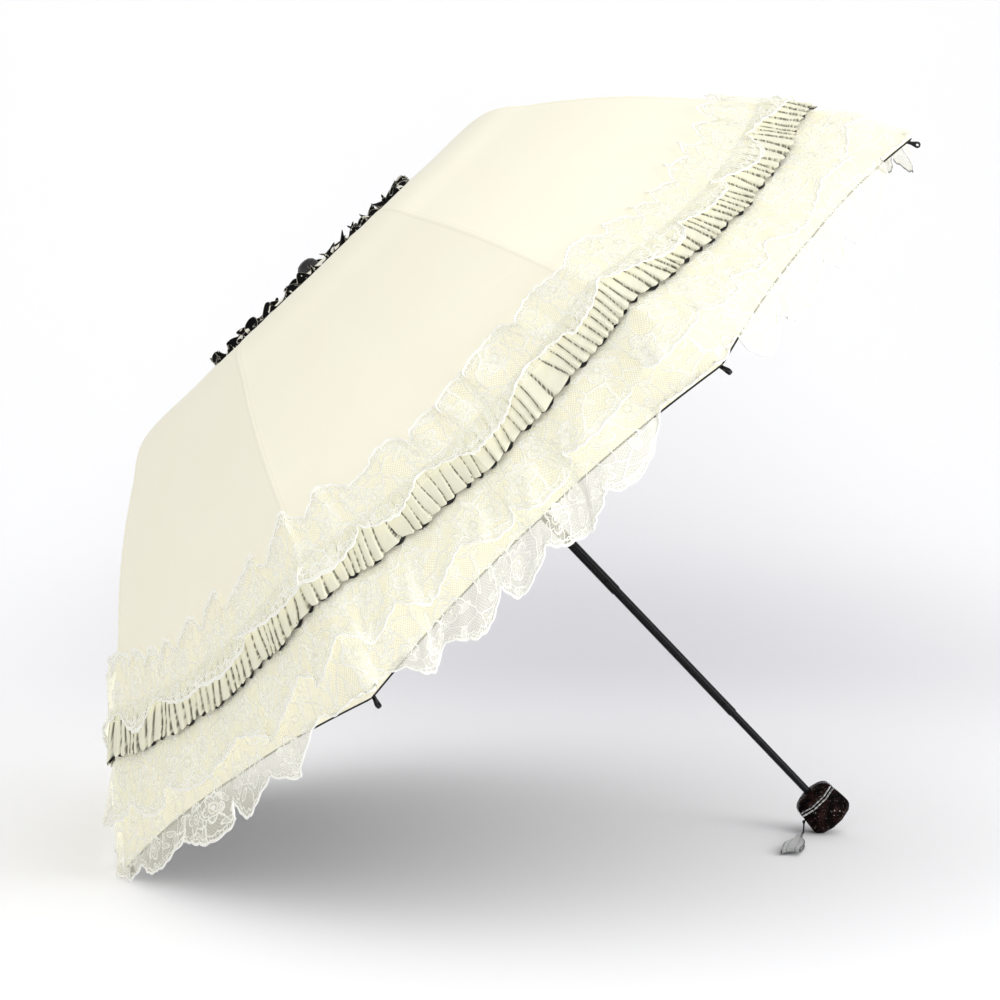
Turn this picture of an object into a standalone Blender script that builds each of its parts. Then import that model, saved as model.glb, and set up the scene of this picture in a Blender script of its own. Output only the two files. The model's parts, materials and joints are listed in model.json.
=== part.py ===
"""A three-fold lace parasol, open, lying on two rib tips and the edge of its handle.

The parasol is modelled upright: the shaft is the Z axis, the crown is at z = 0 and the handle is below it.
The empty "stand" then leans it over and sets it down on the floor, z = 0.
A rib's bars are drawn in the rib's own plane: x outwards from the shaft, z up, y sideways.
Metres throughout.
"""

import math

import bmesh
import bpy
from mathutils import Matrix, Vector
from mathutils.geometry import tessellate_polygon

# Canopy and ribs
RIB_COUNT = 8
GORE = 2 * math.pi / RIB_COUNT
CROWN_PIVOT = (0.0115, -0.0035)
ELBOW_1 = (0.200, -0.0090)
ELBOW_2 = (0.328, -0.1065)
RIB_END = (0.438, -0.2470)
MIDDLE_SAG = 0.006
OUTER_SAG = 0.006
LOW_RIBS = (0, 7)
LOW_RIB_FLEX = math.radians(5)
CANOPY_LIFT = 0.0036
CANOPY_THICKNESS = 0.0008
CANOPY_HOLE = 0.0040
CURVE_STEPS = 12
CHORD_SHARE = 0.78
HEM_SCALLOP = 0.014
MID_GORE_RISE = 0.002

# Rib bars: half heights, eyes and the side planes they turn in
INNER_HALF = 0.0015
MIDDLE_HALF = 0.0014
OUTER_HALF = 0.0011
STRETCHER_HALF = 0.0013
LINK_HALF = 0.0008
EYE = 0.0020
SMALL_EYE = 0.0016
PIN = 0.00055
PIN_HOLE = 0.00090
PIN_HEAD = 0.0012
RIB_PLANE = (-0.0012, 0.0012)
SIDE_PLANE = (0.0016, 0.0030)
LINK_PLANE = (0.0034, 0.0046)
SIDE_OFFSET = (SIDE_PLANE[0] + SIDE_PLANE[1]) / 2
STRETCHER_PIVOT_ALONG = 0.090
STRETCHER_LENGTH = 0.100
LINK_PIVOT_ALONG = 0.010
TAIL_LENGTH = 0.010
TAIL_ANGLE = math.radians(145.0)
TIP_RING = 0.0025
TIP_RING_HOLE = 0.0012
TIP_REACH = 0.0062

# Shaft: four tubes, each sliding in the one above
TUBE_RADII = (0.0048, 0.00425, 0.0037, 0.0031)
TUBE_WALL = 0.00035
TUBE_ENDS = (-0.218, -0.365, -0.507, -0.617)
TUBE_TOP = -0.0019
DETENT_INSET = 0.012
TUBE_HEAD = 0.007
DETENT_RADIUS = 0.0010
DETENT_HOLE = 0.00125
DETENT_DEPTH = 0.0011
GROOVE_DEPTH = 0.00022
GROOVE_ANGLE = math.radians(150)
GROOVE_WIDTH = math.radians(16)
TUBE_SIDES = 36

# Hubs
PIVOT_RADIUS = CROWN_PIVOT[0]
HUB_RADIUS = 0.0140
HUB_BORE = 0.0051
SLOT_FLOOR = 0.0085
NOTCH_SLOT = 0.0016
RUNNER_SLOT = 0.0010
NOTCH_TOP = -0.0014
NOTCH_BOTTOM = -0.0070
RUNNER_FLANGE = 0.0035
SLEEVE_RADIUS = 0.0080
SLEEVE_LENGTH = 0.0180
BUTTON_RADIUS = 0.0026
BUTTON_HOLE = 0.0030
BUTTON_DROP = 0.0110

# Handle
HANDLE_FLATS = 8
HANDLE_RINGS = (
    (-0.5990, 0.0090),
    (-0.6010, 0.0140),
    (-0.6040, 0.0168),
    (-0.6062, 0.0172),
    (-0.6062, 0.0160),
    (-0.6108, 0.0162),
    (-0.6108, 0.0178),
    (-0.6255, 0.0192),
    (-0.6290, 0.0184),
    (-0.6322, 0.0150),
    (-0.6342, 0.0090),
)
FLOOR_RING = 7
BAND = (-0.6065, -0.6105)
BAND_INNER = 0.0166
BAND_OUTER = 0.0181
HANDLE_BORE = 0.0034
HANDLE_BORE_END = -0.6180

# Trims, as shares of the way from crown to hem
RUFFLE_RADIUS = 0.112
RUFFLE_HEIGHT = 0.010
RUFFLE_WAVES = 16
UPPER_LACE = (0.735, 0.818)
RIBBON = (0.820, 0.868)
LOWER_LACE_START = 0.872
HEM_LACE = 0.030
LACE_THICKNESS = 0.0008
LACE_WAVES = 3
FLOOR_GAP = 0.0009

# Strap on the handle
CORD_RADIUS = 0.0006
KNOT_RADIUS = 0.0013
KNOT_GAP = 0.0006
KNOT_PLACE = (0.0045, -0.0035)
CORD_REST = 0.0022
CRIMP_RADIUS = 0.0016
CRIMP_HALF = 0.0030
TAG_HINGE = 0.0060
STRAP_TURN = math.radians(-14)
TAG_SIZE = (0.0160, 0.0700, 0.0030)
TAG_CLOTH = 0.0005
TAG_NECK = 0.0028
TAG_PINCH = 0.25

COLOURS = {
    "cream": ((0.86, 0.82, 0.66, 1.0), 0.75, 0.0),
    "lace": ((0.93, 0.92, 0.84, 1.0), 0.85, 0.0),
    "black_steel": ((0.02, 0.02, 0.02, 1.0), 0.35, 0.8),
    "bright_steel": ((0.75, 0.75, 0.76, 1.0), 0.25, 1.0),
    "black_plastic": ((0.03, 0.03, 0.03, 1.0), 0.45, 0.0),
    "dark_resin": ((0.06, 0.04, 0.035, 1.0), 0.12, 0.0),
    "cord": ((0.02, 0.02, 0.02, 1.0), 0.8, 0.0),
    "silver_ribbon": ((0.45, 0.46, 0.45, 1.0), 0.4, 0.0),
}


# ---------------------------------------------------------------- scene and meshes


def clear_scene():
    for old in list(bpy.data.objects):
        bpy.data.objects.remove(old, do_unlink=True)


def material(name):
    made = bpy.data.materials.get(name)
    if made:
        return made
    colour, roughness, metallic = COLOURS[name]
    made = bpy.data.materials.new(name)
    made.use_nodes = True
    shader = made.node_tree.nodes["Principled BSDF"]
    shader.inputs["Base Color"].default_value = colour
    shader.inputs["Roughness"].default_value = roughness
    shader.inputs["Metallic"].default_value = metallic
    return made


def empty(name, parent=None, location=(0, 0, 0), turn=0.0):
    made = bpy.data.objects.new(name, None)
    bpy.context.scene.collection.objects.link(made)
    made.parent = parent
    made.location = location
    made.rotation_euler = (0, 0, turn)
    return made


def node(name, mesh, finish, parent, location=(0, 0, 0), lift=0.0, smooth=35):
    """One sub-part: an object with its mesh, its own material slot and its place."""
    if not mesh.materials:
        mesh.materials.append(material(finish))
    mesh.shade_smooth()
    mesh.set_sharp_from_angle(angle=math.radians(smooth))
    made = bpy.data.objects.new(name, mesh)
    bpy.context.scene.collection.objects.link(made)
    made.parent = parent
    made.location = location
    made.rotation_euler = (0, -lift, 0)
    return made


def mesh_from(name, points, faces):
    """A mesh with all its faces turned to the outside."""
    made = bmesh.new()
    corners = [made.verts.new(p) for p in points]
    for face in faces:
        made.faces.new([corners[i] for i in face])
    bmesh.ops.recalc_face_normals(made, faces=made.faces)
    mesh = bpy.data.meshes.new(name)
    made.to_mesh(mesh)
    made.free()
    return mesh


def combined(mesh, others, operation):
    """The mesh with others united with it or cut from it."""
    body = bpy.data.objects.new("body", mesh)
    bpy.context.scene.collection.objects.link(body)
    tools = []
    for other in others:
        tool = bpy.data.objects.new("tool", other)
        bpy.context.scene.collection.objects.link(tool)
        modifier = body.modifiers.new("cut", "BOOLEAN")
        modifier.operation = operation
        modifier.object = tool
        tools.append(tool)
    bpy.context.view_layer.update()
    graph = bpy.context.evaluated_depsgraph_get()
    made = bpy.data.meshes.new_from_object(body.evaluated_get(graph))
    made.name = mesh.name
    for used in [body, *tools]:
        bpy.data.objects.remove(used, do_unlink=True)
    return made


def united(mesh, *others):
    return combined(mesh, others, "UNION")


def cut(mesh, *others):
    return combined(mesh, others, "DIFFERENCE")


def moved(mesh, matrix):
    mesh.transform(matrix)
    return mesh


# ---------------------------------------------------------------- outlines and solids


def circle(centre, radius, sides=8):
    turns = [2 * math.pi * i / sides for i in range(sides)]
    return [(centre[0] + radius * math.cos(a), centre[1] + radius * math.sin(a)) for a in turns]


def plate(name, loops, low, high, place):
    """A flat plate: an outline and its holes, drawn by place(u, v, depth) between two depths."""
    flat = [[Vector((u, v, 0)) for u, v in loop] for loop in loops]
    corners = [p for loop in loops for p in loop]
    count = len(corners)
    points = [place(u, v, low) for u, v in corners] + [place(u, v, high) for u, v in corners]
    faces = []
    for a, b, c in tessellate_polygon(flat):
        faces.append((a, b, c))
        faces.append((c + count, b + count, a + count))
    first = 0
    for loop in loops:
        for i in range(len(loop)):
            a = first + i
            b = first + (i + 1) % len(loop)
            faces.append((a, b, b + count, a + count))
        first += len(loop)
    return mesh_from(name, points, faces)


def in_rib_plane(u, v, depth):
    return (u, depth, v)


def across_shaft(u, v, depth):
    return (u, v, depth)


def side_pin(centre, radius, low, high, sides=6):
    """A short pin across the rib's plane."""
    return plate("pin", [circle(centre, radius, sides)], low, high, in_rib_plane)


def rings_to_solid(name, rings):
    """Rings of equal length, from one end to the other, closed with a flat cap at each end."""
    size = len(rings[0])
    points = [p for ring in rings for p in ring]
    faces = [tuple(range(size)), tuple((len(rings) - 1) * size + i for i in range(size))]
    for row in range(len(rings) - 1):
        for i in range(size):
            j = (i + 1) % size
            faces.append((row * size + i, row * size + j, (row + 1) * size + j, (row + 1) * size + i))
    return mesh_from(name, points, faces)


def loop_of_rings(name, rings):
    """Closed cross-sections joined one after another, all the way round."""
    size = len(rings[0])
    count = len(rings)
    points = [p for ring in rings for p in ring]
    faces = []
    for row in range(count):
        after = (row + 1) % count
        for i in range(size):
            j = (i + 1) % size
            faces.append((row * size + i, row * size + j, after * size + j, after * size + i))
    return mesh_from(name, points, faces)


def turned(name, profile, sides=24):
    """A solid turned about the shaft from (radius, z) pairs, top to bottom."""
    rings = []
    for radius, z in profile:
        rings.append([(x, y, z) for x, y in circle((0, 0), radius, sides)])
    return rings_to_solid(name, rings)


# ---------------------------------------------------------------- rib geometry


def along(point, angle, distance):
    """The point at a distance in a direction measured downwards from outwards."""
    return (point[0] + distance * math.cos(angle), point[1] - distance * math.sin(angle))


def droop(start, end):
    """How steeply a bar falls from start to end."""
    return math.atan2(start[1] - end[1], end[0] - start[0])


def span(start, end):
    return math.hypot(end[0] - start[0], end[1] - start[1])


def bowed(start, end, sag, steps):
    """Points on a shallow arc from start to end that bulges away from the shaft."""
    fall = droop(start, end)
    length = span(start, end)
    points = []
    for i in range(steps + 1):
        share = i / steps
        x, z = along(start, fall, length * share)
        rise = sag * 4 * share * (1 - share)
        points.append((x + rise * math.sin(fall), z + rise * math.cos(fall)))
    return points


def bar_outline(centres, half, first_eye, last_eye):
    """The outline of a bar along its centre points, with a round eye at each end."""
    upper, lower = [], []
    for before, here, after in zip(centres, centres[1:], centres[2:]):
        run = Vector((after[0] - before[0], after[1] - before[1])).normalized()
        upper.append((here[0] - run.y * half, here[1] + run.x * half))
        lower.append((here[0] + run.y * half, here[1] - run.x * half))
    return upper + round_end(centres[-2], centres[-1], last_eye) + lower[::-1] + round_end(
        centres[1], centres[0], first_eye
    )


def round_end(before, centre, radius, steps=5, reach=math.radians(118)):
    """The round of an eye, clockwise, at the end of a bar that comes from before."""
    heading = math.atan2(centre[1] - before[1], centre[0] - before[0])
    turns = [heading + reach - 2 * reach * i / steps for i in range(steps + 1)]
    return [(centre[0] + radius * math.cos(a), centre[1] + radius * math.sin(a)) for a in turns]


def near_ends(centres, gap):
    """The centre points with one added just inside each end, where the eye runs into the bar."""
    first = Vector(centres[0]).lerp(Vector(centres[1]), gap / span(centres[0], centres[1]))
    last = Vector(centres[-1]).lerp(Vector(centres[-2]), gap / span(centres[-1], centres[-2]))
    return [centres[0], tuple(first), *centres[1:-1], tuple(last), centres[-1]]


def raised(point, angle):
    """A point of the outer rib's plane, swung upwards about the second elbow."""
    x, z = point[0] - ELBOW_2[0], point[1] - ELBOW_2[1]
    c, s = math.cos(angle), math.sin(angle)
    return (ELBOW_2[0] + x * c - z * s, ELBOW_2[1] + x * s + z * c)


def relative(points, origin):
    return [(x - origin[0], z - origin[1]) for x, z in points]


INNER_FALL = droop(CROWN_PIVOT, ELBOW_1)
MIDDLE_FALL = droop(ELBOW_1, ELBOW_2)
STRETCHER_JOINT = along(CROWN_PIVOT, INNER_FALL, STRETCHER_PIVOT_ALONG)
RUNNER_PIVOT = (
    PIVOT_RADIUS,
    STRETCHER_JOINT[1] - math.sqrt(STRETCHER_LENGTH**2 - (STRETCHER_JOINT[0] - PIVOT_RADIUS) ** 2),
)
STRETCHER_FALL = droop(RUNNER_PIVOT, STRETCHER_JOINT)
TIP_CENTRE = along(RIB_END, droop(ELBOW_2, RIB_END) + 0.1, TIP_REACH)
TAIL_END = along(ELBOW_1, MIDDLE_FALL + TAIL_ANGLE, TAIL_LENGTH)
LINK_JOINT = along(STRETCHER_JOINT, STRETCHER_FALL + math.pi, LINK_PIVOT_ALONG)


def inner_rib_mesh():
    centres = near_ends(relative([CROWN_PIVOT, ELBOW_1], CROWN_PIVOT), 2 * EYE)
    holes = [circle(centres[0], PIN_HOLE), circle(centres[-1], PIN_HOLE)]
    outline = bar_outline(centres, INNER_HALF, EYE, EYE)
    bar = plate("inner_rib", [outline, *holes], *RIB_PLANE, in_rib_plane)
    rivet = relative([STRETCHER_JOINT], CROWN_PIVOT)[0]
    return united(bar, side_pin(rivet, PIN_HEAD, RIB_PLANE[0] - 0.0004, 0))


def middle_rib_mesh():
    bow = relative(bowed(ELBOW_1, ELBOW_2, MIDDLE_SAG, 4), ELBOW_1)
    tail = relative([TAIL_END], ELBOW_1)[0]
    centres = near_ends([tail, *bow], 2 * SMALL_EYE)
    holes = [circle(tail, PIN_HOLE), circle(bow[-1], PIN_HOLE)]
    outline = bar_outline(centres, MIDDLE_HALF, SMALL_EYE, EYE)
    bar = plate("middle_rib", [outline, *holes], *SIDE_PLANE, in_rib_plane)
    head_low = RIB_PLANE[0] - 0.0008
    pin = side_pin((0, 0), PIN, head_low + 0.0002, SIDE_OFFSET)
    head = side_pin((0, 0), PIN_HEAD, head_low, RIB_PLANE[0] - 0.0003)
    return united(bar, pin, head)


def outer_rib_mesh():
    bow = relative(bowed(ELBOW_2, RIB_END, OUTER_SAG, 4), ELBOW_2)
    end = relative([TIP_CENTRE], ELBOW_2)[0]
    centres = near_ends([*bow, end], 2 * TIP_RING)
    outline = bar_outline(centres, OUTER_HALF, EYE, TIP_RING)
    bar = plate("outer_rib", [outline, circle(end, TIP_RING_HOLE)], *RIB_PLANE, in_rib_plane)
    head_high = SIDE_PLANE[1] + 0.0008
    pin = side_pin((0, 0), PIN, 0, head_high - 0.0002)
    head = side_pin((0, 0), PIN_HEAD, SIDE_PLANE[1] + 0.0003, head_high)
    return united(bar, pin, head)


def stretcher_mesh():
    centres = near_ends(relative([RUNNER_PIVOT, STRETCHER_JOINT], RUNNER_PIVOT), 2 * SMALL_EYE)
    outline = bar_outline(centres, STRETCHER_HALF, SMALL_EYE, SMALL_EYE)
    hole = circle(centres[0], PIN_HOLE)
    bar = plate("stretcher", [outline, hole], *SIDE_PLANE, in_rib_plane)
    return united(bar, side_pin(centres[-1], PIN_HEAD, SIDE_OFFSET, SIDE_PLANE[1] + 0.0003))


def link_mesh():
    centres = near_ends(relative([TAIL_END, LINK_JOINT], TAIL_END), 2 * SMALL_EYE)
    outline = bar_outline(centres, LINK_HALF, SMALL_EYE, SMALL_EYE)
    hole = circle(centres[-1], PIN)
    bar = plate("link", [outline, hole], *LINK_PLANE, in_rib_plane)
    pin_low = RIB_PLANE[1] + 0.00025
    return united(bar, side_pin((0, 0), PIN, pin_low, LINK_PLANE[0] + 0.0006))


def add_ribs(stand):
    """Eight folding ribs, each of five bars about their own pivots."""
    kinds = (
        ("inner_rib", inner_rib_mesh(), CROWN_PIVOT),
        ("middle_rib", middle_rib_mesh(), ELBOW_1),
        ("outer_rib", outer_rib_mesh(), ELBOW_2),
        ("stretcher", stretcher_mesh(), RUNNER_PIVOT),
        ("link", link_mesh(), TAIL_END),
    )
    for k in range(RIB_COUNT):
        plane = empty(f"rib_plane_{k + 1}", stand, turn=rib_turn(k))
        for kind, mesh, pivot in kinds:
            flexed = kind == "outer_rib" and k in LOW_RIBS
            lift = LOW_RIB_FLEX if flexed else 0.0
            node(f"{kind}_{k + 1}", mesh, "black_steel", plane, (pivot[0], 0, pivot[1]), lift)


def rib_turn(k):
    """The ribs stand half a gore to each side of the lowest line."""
    return GORE * (k + 0.5)


# ---------------------------------------------------------------- hubs, shaft and handle


def hub_outline(slot_half, slot_offset, arc_steps=3):
    """A round hub with one slot for each rib."""
    points = []
    edges = (slot_offset - slot_half, slot_offset + slot_half)
    for k in range(RIB_COUNT):
        turn = rib_turn(k)
        for side, radius in ((0, HUB_RADIUS), (0, SLOT_FLOOR), (1, SLOT_FLOOR), (1, HUB_RADIUS)):
            y = edges[side]
            x = math.sqrt(radius**2 - y**2)
            points.append(turned_point(x, y, turn))
        start = turn + math.asin(edges[1] / HUB_RADIUS)
        stop = turn + GORE + math.asin(edges[0] / HUB_RADIUS)
        for i in range(1, arc_steps):
            a = start + (stop - start) * i / arc_steps
            points.append((HUB_RADIUS * math.cos(a), HUB_RADIUS * math.sin(a)))
    return points


def turned_point(x, y, turn):
    return (x * math.cos(turn) - y * math.sin(turn), x * math.sin(turn) + y * math.cos(turn))


def hub_pins(slot_half, slot_offset, z):
    """A short pin across each slot, for a bar's eye to turn on."""
    pins = []
    for k in range(RIB_COUNT):
        reach = slot_half + 0.0008
        pin = side_pin((PIVOT_RADIUS, z), PIN, slot_offset - reach, slot_offset + reach)
        pins.append(moved(pin, Matrix.Rotation(rib_turn(k), 4, "Z")))
    return pins


def notch_mesh():
    loops = [hub_outline(NOTCH_SLOT, 0.0), circle((0, 0), HUB_BORE, 24)]
    disc = plate("crown_notch", loops, NOTCH_BOTTOM, NOTCH_TOP, across_shaft)
    return united(disc, *hub_pins(NOTCH_SLOT, 0.0, CROWN_PIVOT[1]))


def runner_mesh():
    z = RUNNER_PIVOT[1]
    loops = [hub_outline(RUNNER_SLOT, SIDE_OFFSET), circle((0, 0), HUB_BORE, 24)]
    flange = plate("runner", loops, z - RUNNER_FLANGE, z + RUNNER_FLANGE, across_shaft)
    sleeve_loops = [circle((0, 0), SLEEVE_RADIUS, 24), circle((0, 0), HUB_BORE, 24)]
    sleeve = plate("sleeve", sleeve_loops, z - SLEEVE_LENGTH, z, across_shaft)
    body = united(flange, sleeve, *hub_pins(RUNNER_SLOT, SIDE_OFFSET, z))
    hole = facing_pin(BUTTON_HOLE, 0.0, 2 * SLEEVE_RADIUS, z - BUTTON_DROP)
    return cut(body, hole)


def facing_pin(radius, inner, outer, z, sides=12):
    """A round pin that points out of the shaft's front side, +Y."""
    loop = circle((0, z), radius, sides)
    return plate("pin", [loop], inner, outer, in_rib_plane)


def runner_button_mesh():
    inner = HUB_BORE + 0.0016
    outer = SLEEVE_RADIUS + 0.0008
    loop = circle((0, 0), BUTTON_RADIUS, 12)
    base = plate("runner_button", [loop], inner, outer, in_rib_plane)
    top = plate("top", [circle((0, 0), BUTTON_RADIUS * 0.7, 12)], inner, outer + 0.0004, in_rib_plane)
    return united(base, top)


def groove(angle):
    """How far a tube's wall is pressed in at an angle round it."""
    depth = 0.0
    for centre in (GROOVE_ANGLE, GROOVE_ANGLE + math.pi):
        away = math.remainder(angle - centre, 2 * math.pi) / GROOVE_WIDTH
        depth += GROOVE_DEPTH * math.exp(-(away**2))
    return depth


def tube_loop(radius):
    points = []
    for i in range(TUBE_SIDES):
        a = 2 * math.pi * i / TUBE_SIDES
        r = radius - groove(a)
        points.append((r * math.cos(a), r * math.sin(a)))
    return points


def tube_top(index):
    """Where a tube starts: at the crown, or just above the detent in the tube over it."""
    if index == 0:
        return TUBE_TOP
    return TUBE_ENDS[index - 1] + DETENT_INSET + TUBE_HEAD


def tube_mesh(index):
    radius = TUBE_RADII[index]
    loops = [tube_loop(radius), tube_loop(radius - TUBE_WALL)]
    tube = plate(f"tube_{index + 1}", loops, TUBE_ENDS[index], tube_top(index), across_shaft)
    cutters = []
    if index < len(TUBE_RADII) - 1:
        cutters.append(facing_pin(DETENT_HOLE, 0, 2 * radius, TUBE_ENDS[index] + DETENT_INSET))
    if index > 0:
        cutters.append(facing_pin(DETENT_HOLE, 0, 2 * radius, TUBE_ENDS[index - 1] + DETENT_INSET))
    return cut(tube, *cutters)


def detent_mesh(index):
    """The round head that locks a tube to the one above, level with the outer tube's bore."""
    outer = TUBE_RADII[index - 1] - TUBE_WALL - 0.0001
    inner = outer - DETENT_DEPTH
    rings = []
    for radius, depth in ((1.0, inner), (1.0, outer - 0.0003), (0.75, outer - 0.0001), (0.4, outer)):
        rings.append([(x, depth, z) for x, z in circle((0, 0), DETENT_RADIUS * radius, 10)])
    return rings_to_solid(f"detent_{index + 1}", rings)


def cap_mesh():
    profile = ((0.0022, 0.0100), (0.0058, 0.0090), (0.0085, 0.0066), (0.0096, 0.0036))
    foot = ((0.0098, 0.0022), (0.0098, 0.0011), (0.0030, 0.0011), (0.0030, -0.0120))
    return turned("crown_cap", profile + foot)


def flats(apothem, z, corner=0.16):
    """An eight-sided outline with cut corners."""
    points = []
    for k in range(HANDLE_FLATS):
        middle = GORE * k
        reach = apothem * math.tan(GORE / 2) * (1 - corner)
        for side in (-reach, reach):
            points.append((*turned_point(apothem, side, middle), z))
    return points


def handle_mesh():
    body = rings_to_solid("handle", [flats(apothem, z) for z, apothem in HANDLE_RINGS])
    bore = plate("bore", [circle((0, 0), HANDLE_BORE, 24)], HANDLE_BORE_END, -0.55, across_shaft)
    return cut(body, bore)


def band_mesh():
    """The bright ring let into the handle, with a shallow raised edge above and below."""
    low, high = BAND[1], BAND[0]
    rim = 0.0008
    section = ((BAND_INNER, low), (BAND_OUTER, low), (BAND_OUTER, low + rim))
    section += ((BAND_OUTER - 0.0004, low + 2 * rim), (BAND_OUTER - 0.0004, high - 2 * rim))
    section += ((BAND_OUTER, high - rim), (BAND_OUTER, high), (BAND_INNER, high))
    outlines = [flats(apothem, z) for apothem, z in section]
    rings = [[outline[i] for outline in outlines] for i in range(2 * HANDLE_FLATS)]
    return loop_of_rings("handle_band", rings)


def add_shaft(stand):
    node("crown_cap", cap_mesh(), "black_plastic", stand)
    node("crown_notch", notch_mesh(), "black_plastic", stand)
    node("runner", runner_mesh(), "black_plastic", stand)
    button_place = (0, 0, RUNNER_PIVOT[1] - BUTTON_DROP)
    node("runner_button", runner_button_mesh(), "bright_steel", stand, button_place)
    for index in range(len(TUBE_RADII)):
        node(f"tube_{index + 1}", tube_mesh(index), "black_steel", stand)
        if index:
            place = (0, 0, TUBE_ENDS[index - 1] + DETENT_INSET)
            node(f"detent_{index + 1}", detent_mesh(index), "bright_steel", stand, place)
    node("handle", handle_mesh(), "dark_resin", stand)
    node("handle_band", band_mesh(), "bright_steel", stand)


# ---------------------------------------------------------------- canopy and trims


def canopy_line():
    """Points of the canopy's middle surface over a rib, from the crown to the hem."""
    bars = (
        bowed(CROWN_PIVOT, ELBOW_1, 0, 3),
        bowed(ELBOW_1, ELBOW_2, MIDDLE_SAG, 4),
        bowed(ELBOW_2, RIB_END, OUTER_SAG, 4),
    )
    centre = along(CROWN_PIVOT, INNER_FALL, CANOPY_HOLE - PIVOT_RADIUS)
    line = [(centre[0], centre[1] + CANOPY_LIFT)]
    for number, points in enumerate(bars):
        for i, point in enumerate(points):
            if i == 0:
                continue
            before = points[max(i - 1, 0)]
            after = points[i + 1] if i < len(points) - 1 else next_point(bars, number)
            fall = droop(before, after)
            line.append((point[0] + CANOPY_LIFT * math.sin(fall), point[1] + CANOPY_LIFT * math.cos(fall)))
    return line


def next_point(bars, number):
    """The first point beyond a bar's end, or the end itself on the last bar."""
    if number < len(bars) - 1:
        return bars[number + 1][1]
    return bars[number][-1]


def smooth_line(points, steps):
    """A curve through the points (Catmull-Rom), with a number of steps between each two."""
    first = Vector(points[0]) * 2 - Vector(points[1])
    last = Vector(points[-1]) * 2 - Vector(points[-2])
    knots = [first, *map(Vector, points), last]
    curve = []
    for a, b, c, d in zip(knots, knots[1:], knots[2:], knots[3:]):
        for i in range(steps):
            t = i / steps
            curve.append(
                (b * 2 + (c - a) * t + (a * 2 - b * 5 + c * 4 - d) * t**2 + (b * 3 - a - c * 3 + d) * t**3) / 2
            )
    curve.append(knots[-2])
    return curve


def low_side(turn):
    """1 between the two lowest ribs, falling to 0 at the next rib on each side."""
    away = abs(math.remainder(turn, 2 * math.pi)) / GORE
    share = min(max(1.5 - away, 0.0), 1.0)
    return share * share * (3 - 2 * share)


class CanopyShape:
    """The canopy's surface: share runs from crown to hem, turn runs round the shaft."""

    def __init__(self):
        self.curve = smooth_line(canopy_line(), CURVE_STEPS)
        self.reach = [0.0]
        for a, b in zip(self.curve, self.curve[1:]):
            self.reach.append(self.reach[-1] + (b - a).length)
        self.length = self.reach[-1]

    def on_rib(self, distance):
        """Radius, height and slope of the canopy over a rib at a distance from the crown."""
        distance = min(max(distance, 0.0), self.length)
        i = 0
        while i < len(self.reach) - 2 and self.reach[i + 1] < distance:
            i += 1
        step = self.curve[i + 1] - self.curve[i]
        share = (distance - self.reach[i]) / step.length
        point = self.curve[i] + step * share
        return point, step.normalized()

    def at(self, share, turn, lift=0.0):
        """The point at a share of the way to the hem, lifted off the fabric, in the upright frame."""
        away = abs(math.remainder(turn - GORE / 2, GORE))
        between = (away / (GORE / 2)) ** 2
        hem = self.length - HEM_SCALLOP * (1 - (1 - away / (GORE / 2)) ** 2)
        point, run = self.on_rib(share * hem)
        flex = LOW_RIB_FLEX * low_side(turn)
        if point.x > ELBOW_2[0]:
            point = Vector(raised(point, flex))
            run.rotate(Matrix.Rotation(flex, 2))
        chord = math.cos(GORE / 2) / math.cos(GORE / 2 - away)
        flatness = 1 - CHORD_SHARE * (1 - chord) * min(1.0, share * 3)
        radius = (point.x - run.y * lift) * flatness
        height = point.y + run.x * lift - MID_GORE_RISE * between * share
        return Vector((radius * math.cos(turn), radius * math.sin(turn), height))


def shell(name, grid, thickness, normals):
    """A closed sheet round the shaft: grid[row][i], rows from the inner edge to the outer edge."""
    rows = len(grid)
    count = len(grid[0])
    points = []
    for side in (0.5, -0.5):
        for row in range(rows):
            for i in range(count):
                points.append(grid[row][i] + normals[row][i] * (thickness * side))
    faces = []
    half = rows * count
    for i in range(count):
        j = (i + 1) % count
        for row in range(rows - 1):
            a, b = row * count + i, row * count + j
            c, d = (row + 1) * count + j, (row + 1) * count + i
            faces.append((a, b, c, d))
            faces.append((d + half, c + half, b + half, a + half))
        for row in (0, rows - 1):
            a, b = row * count + i, row * count + j
            faces.append((a, b, b + half, a + half))
    return mesh_from(name, points, faces)


def grid_normals(grid):
    """Unit normals of a closed grid, from its neighbours."""
    rows, count = len(grid), len(grid[0])
    normals = []
    for row in range(rows):
        line = []
        for i in range(count):
            down = grid[min(row + 1, rows - 1)][i] - grid[max(row - 1, 0)][i]
            round_ = grid[row][(i + 1) % count] - grid[row][i - 1]
            line.append(round_.cross(down).normalized() * -1)
        normals.append(line)
    return normals


def shares(start, end, count):
    return [start + (end - start) * i / (count - 1) for i in range(count)]


def turns_round(per_gore):
    count = RIB_COUNT * per_gore
    return [2 * math.pi * i / count for i in range(count)]


def canopy_mesh(shape):
    rows = [distance / shape.length for distance in shape.reach[::CURVE_STEPS]]
    grid = [[shape.at(share, turn) for turn in turns_round(4)] for share in rows]
    return shell("canopy", grid, CANOPY_THICKNESS, grid_normals(grid))


def crown_ruffle_mesh(shape):
    """A frilled strip that stands on the crown in a ring."""
    share = RUFFLE_RADIUS / shape.length
    rings = []
    for turn in [2 * math.pi * i / (RUFFLE_WAVES * 4) for i in range(RUFFLE_WAVES * 4)]:
        wave = math.sin(RUFFLE_WAVES * turn)
        foot = shape.at(share, turn, 0.0012)
        out = Vector((math.cos(turn), math.sin(turn), 0))
        top = foot + out * (0.004 * wave) + Vector((0, 0, RUFFLE_HEIGHT * (0.9 + 0.1 * wave)))
        side = out * 0.0012
        rings.append([foot - side, foot + side, top + side, top - side])
    return loop_of_rings("crown_ruffle", rings)


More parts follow.
